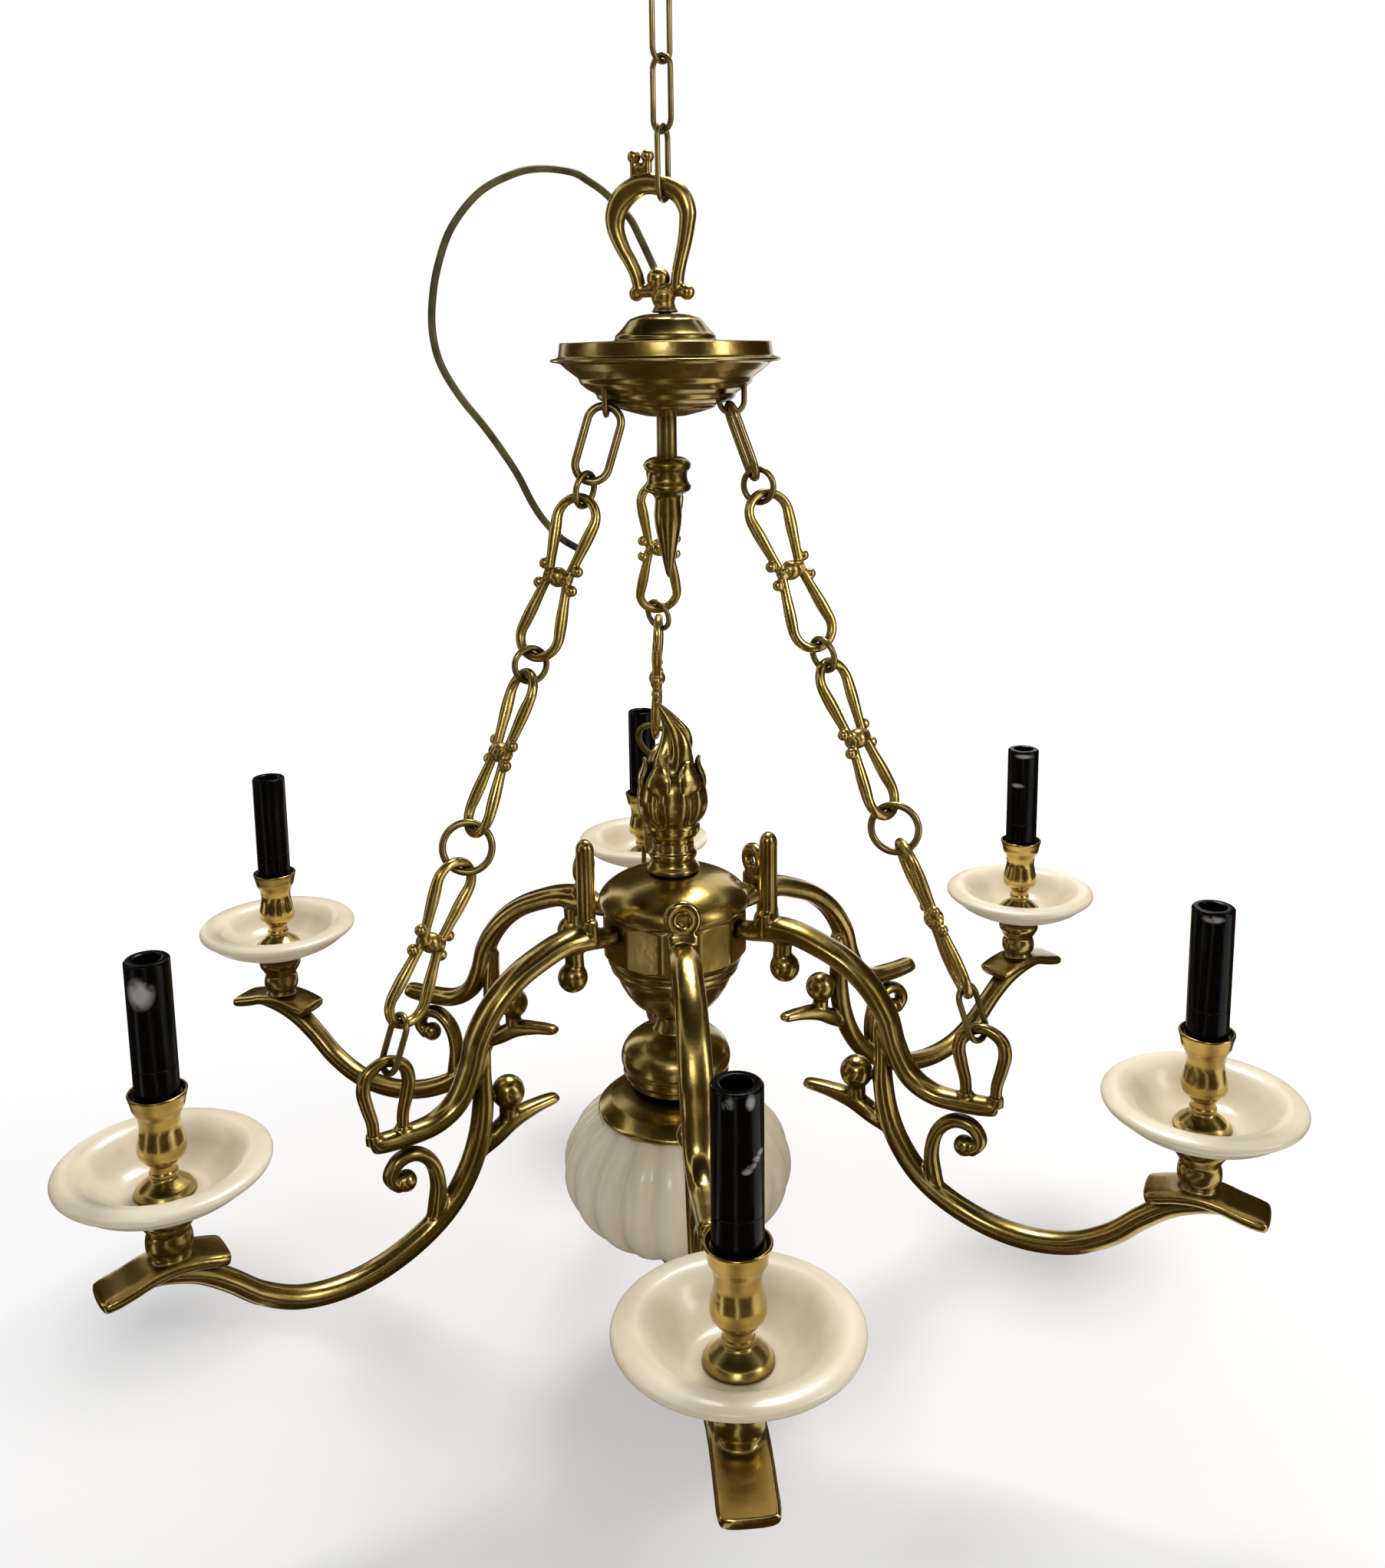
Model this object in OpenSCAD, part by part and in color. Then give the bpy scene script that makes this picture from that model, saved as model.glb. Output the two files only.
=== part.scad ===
// Six-arm rococo chandelier of cast and turned brass, with glazed ceramic drip pans and a fluted
// ceramic ball. It hangs by a link chain: a lyre shackle carries a canopy dish, and three ornamental
// chains run from the dish down to every second arm.
// Millimetres, +Z up. The origin is the inner top of the uppermost chain link, where a ceiling hook
// carries everything. Heights inside the modules are measured from the plane of the drip pan rims.

/* [Overall] */
// Drop from the ceiling hook to the plane of the drip pan rims
rim_drop = 637; // [600:1:800]
// Distance from the middle of the column to each candle
arm_reach = 334; // [300:1:360]

/* [Ceiling chain] */
// Clear length inside a ceiling link
link_inner = 40.2; // [34:0.2:48]
// Clear width inside a ceiling link
link_gap = 12; // [10:0.5:16]
// Diameter of the ceiling link wire
link_wire = 3.4; // [2.8:0.1:4]
// Direction that the upper link faces, in degrees
link_turn = 44; // [0:1:90]
// Direction that the middle link faces
link_turn_2 = -51; // [-90:1:0]
// Direction that the lower link faces, square to the shackle
link_turn_3 = 62; // [0:1:90]

/* [Canopy] */
// Radius of the canopy dish at its lip
canopy_r = 71; // [60:1:80]
// Height of the canopy lip above the drip pan rims
canopy_z = 421; // [400:1:440]
// Radius of the rod through the canopy
canopy_rod_r = 4; // [3:0.5:5]

/* [Ornamental chains] */
// Radius of the chain eyes under the canopy
eye_r = 44; // [38:1:50]
// Height of the chain eyes
eye_z = 388; // [380:1:392]
// Clear length inside the oval link at the top of each chain
oval_inner = 41.8; // [36:0.2:46]
// Clear length inside each lyre link
lyre_inner = 94; // [90:0.5:97]
// Clear width of the two small rings
ring_inner = 16.5; // [15:0.5:18]
// Clear width of the large ring
big_ring_inner = 24.8; // [23:0.1:27]
// Radius of the rod that the lyre links are bent from
lyre_wire = 2.9; // [2.2:0.1:3.2]

/* [Column] */
// Radius of the centre rod
rod_r = 4; // [3:0.5:5]
// Radius of the hub dome
hub_r = 50; // [46:1:54]
// Radius of the ceramic ball over its lobes
ball_r = 77; // [70:0.5:80]
// Half the height of the ceramic ball
ball_half = 56; // [50:1:60]
// Number of lobes round the ceramic ball
ball_lobes = 20; // [16:2:24]

/* [Candles] */
// Radius of a drip pan at its rim
pan_r = 57; // [50:1:62]
// Depth of a drip pan
pan_depth = 21; // [18:1:24]
// Radius of a lampholder tube
holder_r = 11.8; // [11:0.1:12.5]
// Height of the lampholder tops above the drip pan rims
holder_top = 116.5; // [100:0.5:130]
// Radius of the lamp socket in a lampholder
socket_r = 7; // [6.5:0.1:7.5]
// Depth of the lamp socket
socket_depth = 20; // [16:1:26]

/* [Cord] */
// Diameter of the power cord
cord_d = 4.6; // [4:0.1:6]

/* [Hidden] */
$fn = 64;

brass = "#A88B3C";
dark_brass = "#7F6628";
ceramic = "#EFE3CC";
bakelite = "#17140F";
cord_colour = "#8F7D3A";

// Arm directions: the front arm first, then round to the right
arm_angle = [270, 330, 30, 90, 150, 210];
// Chain directions: left, right, back
chain_angle = [210, 330, 90];
// A chain arm is every second one
chain_arm = [false, true, false, true, false, true];
gap = 0.25;
// Play between hanging pieces that can swing against each other
play = 0.3;

// Height of the lyre shackle's seat on the third link
seat_z = rim_drop - 3 * (link_inner - play);
wire_r = link_wire / 2;

// Ornamental chains: wire radii, loop on the arm foot and the play left in it
eye_wire = 1.7;
eye_bend = 7.6;
oval_wire = 2.5;
ring_wire = 1.9;
big_ring_wire = 2.2;
loop_wire = 3.3;
loop_r = 206;
loop_z = 19;
eye_play = 1.1;
loop_play = 1.6;
run = norm([loop_r - eye_r, eye_z - loop_z]);
lean = atan2(loop_r - eye_r, eye_z - loop_z);

// Turn of each piece of a chain about the chain's own line, from the eye downwards
left_turn = [-38, 28, -60, -8, 87, -34, 13, 95];
right_turn = [-56, -6, 48, -32, 74, 6, -58, 66];
back_turn = [-4, 46, 96, 42, -8, 60, -25, 80];

// Heights of the column's joints
finial_z = 160;
cup_z = 112;
neck_z = 91.5;
dome_z = 70;
drum_z = 33;
bowl_z = -8;
vase_z = -60;
ball_z = -116.5;
hub_wall = 5;
root_z = 57.6;
bore_r = rod_r + 0.2;

// Heights under and over a drip pan
boss_z = -50;
pan_wall = 4.5;
nipple_r = 5;
nipple_top = 8;
cup_seat = 34;

// A smooth curve through points of any dimension, with n steps from each point to the next
function spline_at(p, i, t) =
    let (a = p[max(i - 1, 0)], b = p[i], c = p[i + 1], d = p[min(i + 2, len(p) - 1)])
    b + t / 2 * (c - a) + t * t * (a - 2.5 * b + 2 * c - d / 2)
    + t * t * t * (1.5 * (b - c) + (d - a) / 2);
function curve(p, n) = [
    for (i = [0 : len(p) - 2], k = [0 : n - 1]) spline_at(p, i, k / n),
    p[len(p) - 1]
];

// Faces of a tube of m rings with s points each
function tube_faces(m, s) = [
    [for (k = [0 : s - 1]) k],
    for (i = [0 : m - 2], k = [0 : s - 1])
        [i * s + k, (i + 1) * s + k, (i + 1) * s + (k + 1) % s, i * s + (k + 1) % s],
    [for (k = [s - 1 : -1 : 0]) (m - 1) * s + k]
];

// A cast bar in the XZ plane. Each point is [x, z, half thickness, half width].
module bar(p, n = 3, s = 8) {
    q = curve(p, n);
    m = len(q);
    points = [
        for (i = [0 : m - 1])
            let (t = q[min(i + 1, m - 1)] - q[max(i - 1, 0)], l = norm([t[0], t[1]]))
            for (k = [0 : s - 1])
                let (a = 360 * (k + 0.5) / s, up = q[i][2] * sin(a))
                [q[i][0] - up * t[1] / l, q[i][3] * cos(a), q[i][1] + up * t[0] / l]
    ];
    polyhedron(points, tube_faces(m, s));
}

// A round cord along points in space
module rope(p, r, s = 8) {
    m = len(p);
    points = [
        for (i = [0 : m - 1])
            let (
                t = p[min(i + 1, m - 1)] - p[max(i - 1, 0)],
                u = t / norm(t),
                v = cross(u, [0, 1, 0]),
                side = v / norm(v),
                other = cross(side, u)
            )
            for (k = [0 : s - 1])
                p[i] + r * cos(360 * k / s) * other - r * sin(360 * k / s) * side
    ];
    polyhedron(points, tube_faces(m, s));
}

// A piece turned on a lathe, from its half outline [radius, height]
module turned(p) rotate_extrude() polygon(p);

// Points on an ellipse in a half outline, from angle a to angle b
function round_part(rx, rz, z, a, b, n) = [
    for (i = [0 : n]) let (t = a + (b - a) * i / n) [rx * cos(t), z + rz * sin(t)]
];

// A ring of wire lying in the XZ plane, its inner top at the origin
module wire_ring(inner, r) translate([0, 0, -inner / 2])
    rotate([90, 0, 0]) rotate_extrude() translate([inner / 2 + r, 0]) circle(r = r);

// A long link of wire in the XZ plane, its inner top at the origin
module long_link(inner, wide, r) {
    bend = wide / 2 + r;
    straight = inner - wide;
    for (side = [-1, 1])
        translate([side * bend, 0, -wide / 2 - straight]) cylinder(r = r, h = straight);
    for (end = [0, 1])
        translate([0, 0, -wide / 2 - end * straight])
            rotate([90, 0, 0]) rotate([0, 0, end * 180])
                rotate_extrude(angle = 180) translate([bend, 0]) circle(r = r);
}

// Ceiling chain
module ceiling_link(i) color(dark_brass)
    translate([0, 0, -i * (link_inner - play)])
        rotate([0, 0, [link_turn, link_turn_2, link_turn_3][i]]) long_link(link_inner, link_gap, wire_r);

// Everything below the chain is placed from the pan rims
module at_rims() translate([0, 0, -rim_drop]) children();

// Lyre shackle: a leaning pear loop of tapering bar, thickest at its left shoulder, with two balls there
// and one at each side of the knot that it ends in. It is bent to the left, as the old ones often are.
module hanger_lyre() color(brass) at_rims() rotate([0, 0, link_turn_3 - 90]) {
    knot = 467;
    top = seat_z + 6.3;
    bar([
        [8, knot - 5, 4, 4.4], [9, 471, 4, 4.4], [11, 480, 4, 4.4], [13.6, 490, 4.3, 4.6],
        [15.3, 500, 4.8, 4.8], [15.6, 509, 5.4, 5], [10.5, 518.5, 6, 4.9], [0, top, 6, 4.6],
        [-14, top + 1.5, 6.3, 5], [-26, 518.6, 7.2, 5.6], [-31.8, 509, 6.6, 5.4], [-32, 499, 5.4, 5],
        [-27.6, 488, 4.5, 4.7], [-22.5, 479.5, 4.1, 4.6], [-18.5, 471, 4, 4.4], [-16.5, knot - 5, 4, 4.4]
    ]);
    for (x = [-19, -10]) {
        translate([x, 0, 541.5]) sphere(r = 4.1);
        translate([x, 0, 524]) cylinder(r = 2.8, h = 15);
    }
    translate([-14.5, 0, 534]) cube([12, 6, 8], center = true);
    translate([-4, 0, knot + 2]) sphere(r = 7.2);
    translate([-2, 0, 462]) rotate([0, 90, 0]) cylinder(r = 4.2, h = 30, center = true);
    for (x = [-19, 15]) translate([x, 0, 460.5]) sphere(r = 4.6);
    difference() {
        union() {
            turned([
                [0, canopy_z + 27], [9, canopy_z + 27], [7, canopy_z + 30], [5.8, canopy_z + 33],
                [7.2, canopy_z + 36], [7.2, canopy_z + 40], [6, canopy_z + 44], [0, canopy_z + 44]
            ]);
            translate([-1.5, 0, knot - 9.5]) sphere(r = 6.8);
        }
        translate([0, 0, canopy_z]) cylinder(r = canopy_rod_r + 0.2, h = 36);
    }
}

// Canopy lid: the flat top of the dish with a stepped cap that the shackle's neck stands on
module canopy_lid() color(brass) at_rims() difference() {
    turned([
        [0, canopy_z + 7], [canopy_r - 8.5, canopy_z + 7], [canopy_r - 8.5, canopy_z + 10],
        [31, canopy_z + 11], [31, canopy_z + 14], [28.5, canopy_z + 16], [22, canopy_z + 24],
        [14, canopy_z + 26.5], [0, canopy_z + 27]
    ]);
    translate([0, 0, canopy_z]) cylinder(r = canopy_rod_r + 0.2, h = 40);
    turned([
        [0, canopy_z + 6], [27, canopy_z + 6], [27, canopy_z + 13], [19, canopy_z + 22], [0, canopy_z + 23]
    ]);
}

// Canopy bowl: a spun dish with a standing band, a thin lip and stepped rings below
module canopy_bowl() color(brass) at_rims() difference() {
    turned([
        [0, canopy_z - 35], [12, canopy_z - 35], [22, canopy_z - 32.5], [30, canopy_z - 30],
        [31, canopy_z - 28], [38, canopy_z - 26.5], [42.5, canopy_z - 24], [43.5, canopy_z - 21],
        [49, canopy_z - 18], [53, canopy_z - 14.5], [54, canopy_z - 11.5], [60, canopy_z - 7],
        [65, canopy_z - 2.5], [canopy_r, canopy_z - 1.5], [canopy_r, canopy_z],
        [canopy_r - 5, canopy_z + 1.5], [canopy_r - 6, canopy_z + 10], [0, canopy_z + 10]
    ]);
    turned([
        [0, canopy_z - 32], [12, canopy_z - 32], [40, canopy_z - 22], [52, canopy_z - 9],
        [canopy_r - 8.3, canopy_z + 1], [canopy_r - 8.3, canopy_z + 11], [0, canopy_z + 11]
    ]);
    translate([0, 0, canopy_z - 40]) cylinder(r = canopy_rod_r + 0.2, h = 20);
    at_eyes() for (side = [-1, 1]) translate([side * eye_bend, 0, 0]) cylinder(r = eye_wire + 0.15, h = 36);
}

// Rod that holds the shackle, the dish and the stem together, with a nut above the bowl
module canopy_rod() color(dark_brass) at_rims() {
    translate([0, 0, 350]) cylinder(r = canopy_rod_r, h = canopy_z + 34 - 350);
    translate([0, 0, canopy_z - 31.9]) cylinder(r = 8, h = 5, $fn = 6);
}

// Stem: a plain tube under the dish
module stem_tube() color(dark_brass) at_rims() difference() {
    translate([0, 0, 361]) cylinder(r = 6.3, h = canopy_z - 35 - 361);
    translate([0, 0, 340]) cylinder(r = canopy_rod_r + 0.2, h = 60);
}

// Turned collar with two beads, and the drop below it
module stem_drop() color(brass) at_rims() difference() {
    turned([
        [0, 361], [8, 361], [12.5, 359.5], [15.2, 356.5], [14.6, 353.5], [12.6, 351.5], [12.4, 348],
        [13, 345.5], [15.2, 342.5], [14.2, 339.5], [9.5, 337.5], [8, 335], [8.2, 331], [8.9, 325],
        [8.4, 318], [6.6, 309], [4.6, 300], [3, 292], [1.6, 286], [0, 284.5]
    ]);
    translate([0, 0, 349.8]) cylinder(r = canopy_rod_r + 0.2, h = 20);
}

// Places at the three chain eyes, turned square to the oval links
module at_eyes() for (i = [0 : 2]) rotate([0, 0, chain_angle[i]]) translate([eye_r, 0, eye_z])
    rotate([0, 0, [left_turn, right_turn, back_turn][i][0] + 90]) children();

// Three wire staples under the dish, one for each chain, with both legs through its wall
module chain_eyes() color(dark_brass) at_rims() at_eyes() {
    translate([0, 0, eye_bend]) rotate([90, 0, 0]) rotate([0, 0, 180])
        rotate_extrude(angle = 180) translate([eye_bend, 0]) circle(r = eye_wire);
    for (side = [-1, 1]) translate([side * eye_bend, 0, eye_bend]) cylinder(r = eye_wire, h = 14);
}

// Lyre link: two pear loops end to end, tied by a ball on a short bar, with four pearls. Every round piece is
// turned about itself, so that no two seams of their surfaces fall together
module lyre_link() {
    bend = 13;
    waist = 6.6;
    middle = lyre_inner / 2 - bend + lyre_wire;
    reach = norm([waist, middle]);
    spread = asin(bend / reach) - atan(waist / middle);
    limb = sqrt(reach * reach - bend * bend);
    for (flip = [0, 180]) rotate([0, flip, 0]) {
        translate([0, 0, middle]) rotate([90, 0, 0]) rotate([0, 0, -spread])
            rotate_extrude(angle = 180 + 2 * spread) translate([bend, 0]) rotate(50) circle(r = lyre_wire);
        for (side = [-1, 1]) {
            translate([side * waist, 0, 0]) rotate([0, side * spread, 0]) translate([0, 0, -1.5])
                rotate([0, 0, 50]) cylinder(r1 = lyre_wire + 0.3, r2 = lyre_wire - 0.3, h = limb + 2.3);
            translate([side * 11.6, 0, 6]) rotate([70, 30, 0]) sphere(r = 3.5);
        }
    }
    rotate([20, 90, 0]) cylinder(r = 4.6, h = 2 * waist + 4, center = true);
    rotate([70, 0, 35]) sphere(r = 6.2);
}

// Clear lengths of a chain's pieces from the eye downwards, and how far the chain bows inward
pieces = [oval_inner, ring_inner, lyre_inner, ring_inner, lyre_inner, big_ring_inner, lyre_inner];
bow = [7, 4.5, 5];
function sum(k) = k == 0 ? 0 : sum(k - 1) + pieces[k - 1] - gap;
function tilt(i, k) = lean - atan(4 * bow[i] / run * (1 - (sum(k) + sum(k + 1)) / run));
function down(t) = [sin(t), -cos(t)];
function hang(i, k) = k == 0
    ? -(eye_wire + eye_play) * down(tilt(i, 0))
    : hang(i, k - 1) + (pieces[k - 1] - gap) * down(tilt(i, k - 1));

// A piece of an ornamental chain, its inner top at its place below the eye
module on_chain(i, k, turn) at_rims() rotate([0, 0, chain_angle[i]]) translate([eye_r, 0, eye_z])
    translate([hang(i, k)[0], 0, hang(i, k)[1]]) rotate([0, -tilt(i, k), 0]) rotate([0, 0, turn]) children();

// The last link reaches from the chain to the inner side of the loop on the arm, where it pulls
module on_loop(i, turn) {
    from = hang(i, 7);
    way = [loop_r - 3 - eye_r, loop_z - 0.6 - eye_z] - from;
    at_rims() rotate([0, 0, chain_angle[i]]) translate([eye_r + from[0], 0, eye_z + from[1]])
        rotate([0, -atan2(way[0], -way[1]), 0]) rotate([0, 0, turn])
            long_link(norm(way) + loop_wire + loop_play, 12, ring_wire);
}

module oval_link(i, turn) color(dark_brass)
    on_chain(i, 0, turn[0]) long_link(oval_inner, 15.5, oval_wire);

module lyre_links(i, turn) color(brass) for (k = [2, 4, 6])
    on_chain(i, k, turn[k]) translate([0, 0, -lyre_inner / 2]) lyre_link();

module rings(i, turn) color(dark_brass) {
    for (k = [1, 3]) on_chain(i, k, turn[k]) wire_ring(ring_inner, ring_wire);
    on_chain(i, 5, turn[5]) wire_ring(big_ring_inner, big_ring_wire);
    on_loop(i, turn[7]);
}

// Flame finial with a curled tip, on a leaf collar
module flame_finial() color(brass) at_rims() difference() {
    union() {
        bar([
            [0, finial_z, 14, 14], [3, finial_z + 8, 13.5, 13.5], [6, finial_z + 16, 11.5, 11],
            [3.5, finial_z + 25, 8.4, 8], [-3, finial_z + 33, 5, 5], [-8, finial_z + 40, 2.2, 2.2],
            [-9.5, finial_z + 43, 0.8, 0.8]
        ]);
        turned([
            [0, finial_z], [17.5, finial_z], [19, finial_z + 2.5], [16.5, finial_z + 5], [0, finial_z + 5]
        ]);
    }
    translate([0, 0, finial_z - 1]) cylinder(r = bore_r, h = 9);
    translate([0, 0, finial_z - 12]) cylinder(r = 30, h = 12);
}

// Bulb that the flame stands in
module flame_cup() color(brass) at_rims() difference() {
    turned(concat(
        [
            [0, cup_z], [15.5, cup_z], [17, cup_z + 3], [17.5, cup_z + 6.5], [16.6, cup_z + 9],
            [18, cup_z + 12]
        ],
        round_part(23, 22, cup_z + 27, -32, 55, 8),
        [[14, finial_z], [0, finial_z]]
    ));
    turned(concat([[0, cup_z + 12]], round_part(19, 18, cup_z + 27, -56, 56, 8), [[0, cup_z + 42]]));
    translate([0, 0, cup_z - 1]) cylinder(r = bore_r, h = 60);
}

// Ringed neck on the dome
module neck_rings() color(brass) at_rims() difference() {
    turned([
        [0, neck_z], [16.8, neck_z], [17.4, neck_z + 2], [16.2, neck_z + 4.5], [14.4, neck_z + 6],
        [15.4, neck_z + 9], [15.4, neck_z + 14], [14.2, neck_z + 16.5], [15.4, cup_z], [0, cup_z]
    ]);
    translate([0, 0, neck_z - 1]) cylinder(r = bore_r, h = 30);
}

// Domed top of the hub
module hub_dome() color(brass) at_rims() difference() {
    turned(concat([[0, dome_z]], round_part(hub_r, 22, dome_z, 0, 77, 12), [[7, neck_z], [0, neck_z]]));
    turned(concat([[0, dome_z - 1], [hub_r - 3, dome_z - 1]], round_part(hub_r - 3, 19, dome_z, 0, 84, 10),
        [[0, dome_z + 19]]));
    translate([0, 0, dome_z]) cylinder(r = bore_r, h = 30);
}

// Twelve-sided drum that the arms are screwed to, open inside for the wires
module hub_drum() color(brass) at_rims() difference() {
    intersection() {
        turned([
            [0, drum_z], [44.5, drum_z], [46.4, drum_z + 5], [47.5, drum_z + 12], [47.5, dome_z - 8],
            [46, dome_z - 4], [48.6, dome_z - 2], [48.6, dome_z], [0, dome_z]
        ]);
        translate([0, 0, drum_z - 1]) rotate([0, 0, 15]) cylinder(r = 48, h = 45, $fn = 12);
    }
    translate([0, 0, drum_z + hub_wall]) cylinder(r = 44.5 - hub_wall, h = 50);
    translate([0, 0, drum_z - 1]) cylinder(r = bore_r, h = 10);
    for (a = arm_angle) rotate([0, 0, a]) translate([30, 0, root_z]) rotate([0, 90, 0])
        cylinder(r = 2.7, h = 20);
}

// Bowl that closes the hub from below
module hub_bowl() color(brass) at_rims() difference() {
    turned([
        [0, bowl_z], [13, bowl_z], [14.2, bowl_z + 2], [20, bowl_z + 4.5], [28.5, bowl_z + 11],
        [32, bowl_z + 16], [33, bowl_z + 18.5], [35.5, bowl_z + 20], [40, bowl_z + 28],
        [44, bowl_z + 36], [44.5, drum_z], [0, drum_z]
    ]);
    turned([
        [0, bowl_z + 6], [15, bowl_z + 8], [25, bowl_z + 15], [29, bowl_z + 20], [35, bowl_z + 29],
        [39.5, bowl_z + 37], [40, drum_z + 1], [0, drum_z + 1]
    ]);
    translate([0, 0, bowl_z - 1]) cylinder(r = bore_r, h = 60);
}

// Turned vase with three rings below its belly
module vase() color(brass) at_rims() difference() {
    turned(concat(
        [[0, vase_z], [25, vase_z], [29, vase_z + 3], [31.5, vase_z + 5], [31, vase_z + 8],
         [34, vase_z + 9.5], [35.5, vase_z + 12], [35, vase_z + 15]],
        round_part(36.6, 22, vase_z + 21.5, -8, 66, 8),
        [[13.5, bowl_z - 6], [12.5, bowl_z - 2], [13, bowl_z], [0, bowl_z]]
    ));
    turned([
        [0, vase_z + 6], [23, vase_z + 6], [29, vase_z + 12], [32, vase_z + 21], [28, vase_z + 31],
        [18, vase_z + 38], [8, vase_z + 40], [0, vase_z + 40]
    ]);
    translate([0, 0, vase_z - 1]) cylinder(r = bore_r, h = 80);
}

// Brass cap over the top of the ball
module ball_cap() color(brass) at_rims() difference() {
    turned([
        [0, vase_z - 15], [52.6, vase_z - 15], [52.6, vase_z - 13], [50, vase_z - 10.5], [44, vase_z - 5.5],
        [36, vase_z - 1.8], [30, vase_z], [0, vase_z]
    ]);
    turned(concat(
        round_part(ball_r + 0.4, ball_half + 0.4, ball_z, 30, 88, 14), [[0, ball_z + ball_half + 0.4], [0, ball_z]]
    ));
    translate([0, 0, vase_z - 20]) cylinder(r = bore_r, h = 30);
}

// Melon-fluted ceramic ball, hollow, with a hole for the centre rod
module ceramic_ball() color(ceramic) at_rims() difference() {
    melon();
    turned(concat([[0, ball_z - ball_half + 7]],
        round_part(ball_r - 8, ball_half - 6.5, ball_z, -80, 80, 16), [[0, ball_z + ball_half - 7]]));
}

module melon() {
    rows = 13;
    around = 3 * ball_lobes;
    hole = rod_r + 1;
    start = acos(hole / ball_r);
    points = [
        for (j = [0 : rows])
            let (
                t = start - 2 * start * j / rows,
                edge = (j == 0 || j == rows) ? 0 : 1
            )
            for (k = [0 : around - 1])
                let (
                    a = 360 * k / around,
                    lobe = 1 - edge * 0.045 * pow(abs(cos(a * ball_lobes / 2)), 3) * pow(cos(t), 0.3),
                    r = ball_r * lobe * cos(t)
                )
                [r * cos(a), r * sin(a), ball_z + ball_half * sin(t)]
    ];
    faces = [
        for (j = [0 : rows], k = [0 : around - 1])
            let (a = j * around, b = (j + 1) % (rows + 1) * around, n = (k + 1) % around)
            [a + k, a + n, b + n, b + k]
    ];
    polyhedron(points, faces);
}

// Turned knob that screws on under the ball
module bottom_finial() color(brass) at_rims() difference() {
    turned([
        [0, -205], [5, -204], [9, -201], [11, -196.5], [10, -192], [7.5, -189.5], [12, -187],
        [15.5, -184.5], [16.5, -181], [15, -177.5], [13, ball_z - ball_half], [0, ball_z - ball_half]
    ]);
    translate([0, 0, -192]) cylinder(r = bore_r, h = 30);
}

// Rod from the flame down to the bottom knob
module centre_rod() color(dark_brass) at_rims()
    translate([0, 0, -191.5]) cylinder(r = rod_r, h = finial_z + 7 + 191.5);

// Screws that hold the arms, their heads inside the drum
module arm_screws() color(dark_brass) at_rims() for (a = arm_angle) rotate([0, 0, a])
    translate([0, 0, root_z]) rotate([0, 90, 0]) {
        translate([0, 0, 36]) cylinder(r = 4.4, h = 3.2);
        translate([0, 0, 39]) cylinder(r = 2.5, h = 14);
    }

// Block inside the drum where the wires of the arms meet the power cord
module terminal_block() color("#D8D4C6") at_rims() difference() {
    translate([0, 0, drum_z + hub_wall + 0.1]) cylinder(r = 20, h = 10);
    translate([0, 0, drum_z]) cylinder(r = bore_r, h = 20);
    for (a = arm_angle) rotate([0, 0, a]) translate([13, 0, drum_z + 9]) cylinder(r = 2, h = 10);
}

// One cast arm in the plane of its own direction. The arch leaves the hub, swings down and ends in a
// foot. The second curve starts at the scroll beside it, swings under and rises to the candle.
arch = [
    [46.5, 57.6, 6, 7], [56, 57.8, 6.2, 8], [69, 61, 8, 10], [84, 61, 7.2, 10], [100, 56, 7, 10],
    [118, 47.5, 6.8, 10], [134, 34, 6.6, 10], [146, 16, 6.4, 10], [152, -3, 6.2, 9.6],
    [161, -20, 6.2, 9], [176, -29.5, 6, 8], [196, -31.5, 6, 7], [211, -31, 5.6, 6.4], [216, -30.5, 4.6, 5.4]
];
sweep = [
    [141, 10, 3, 5], [143.5, -8, 5, 6.5], [144, -28, 6.2, 7.2], [147.5, -48, 6.4, 7.4],
    [155, -67, 6.6, 7.4], [168, -85, 6.6, 7.4], [187, -99, 6.6, 7.4], [212, -109, 6.6, 7.4],
    [238, -112.5, 6.5, 7.4], [264, -108.5, 6.4, 7.2], [286, -97, 6.3, 7.2], [303, -82, 6.2, 7.2],
    [318, -70.5, 6.2, 8], [332, -64.5, 5.6, 8.6], [344, -62.5, 4.4, 8.6], [354, -63.2, 2.6, 7.6]
];
curl = [
    [184, -97, 2, 3], [178, -84, 4.6, 5.6], [176, -68, 4.4, 5.6], [180, -53, 4.2, 5.4],
    [190, -44.6, 4, 5.2], [201, -46, 4, 5.2], [206.5, -55, 4, 5.2], [201, -62.5, 3.4, 5]
];
spur = [
    [150, -62, 2, 3], [138, -52, 5.5, 6], [124, -44, 5.5, 6.4], [108, -40.6, 4, 5.6],
    [96, -39.6, 3.4, 5], [92.5, -39.6, 2.4, 4]
];
saddle = [
    [304, -62.6, 5, 18.6], [312, -60.6, 5.4, 20], [322, -58.2, 5.4, 20], [334, -57, 5.4, 20],
    [346, -58.4, 5.4, 20], [357, -61.6, 5.4, 20], [366, -63.8, 5.4, 20], [373.5, -65.2, 4.6, 18]
];

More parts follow.
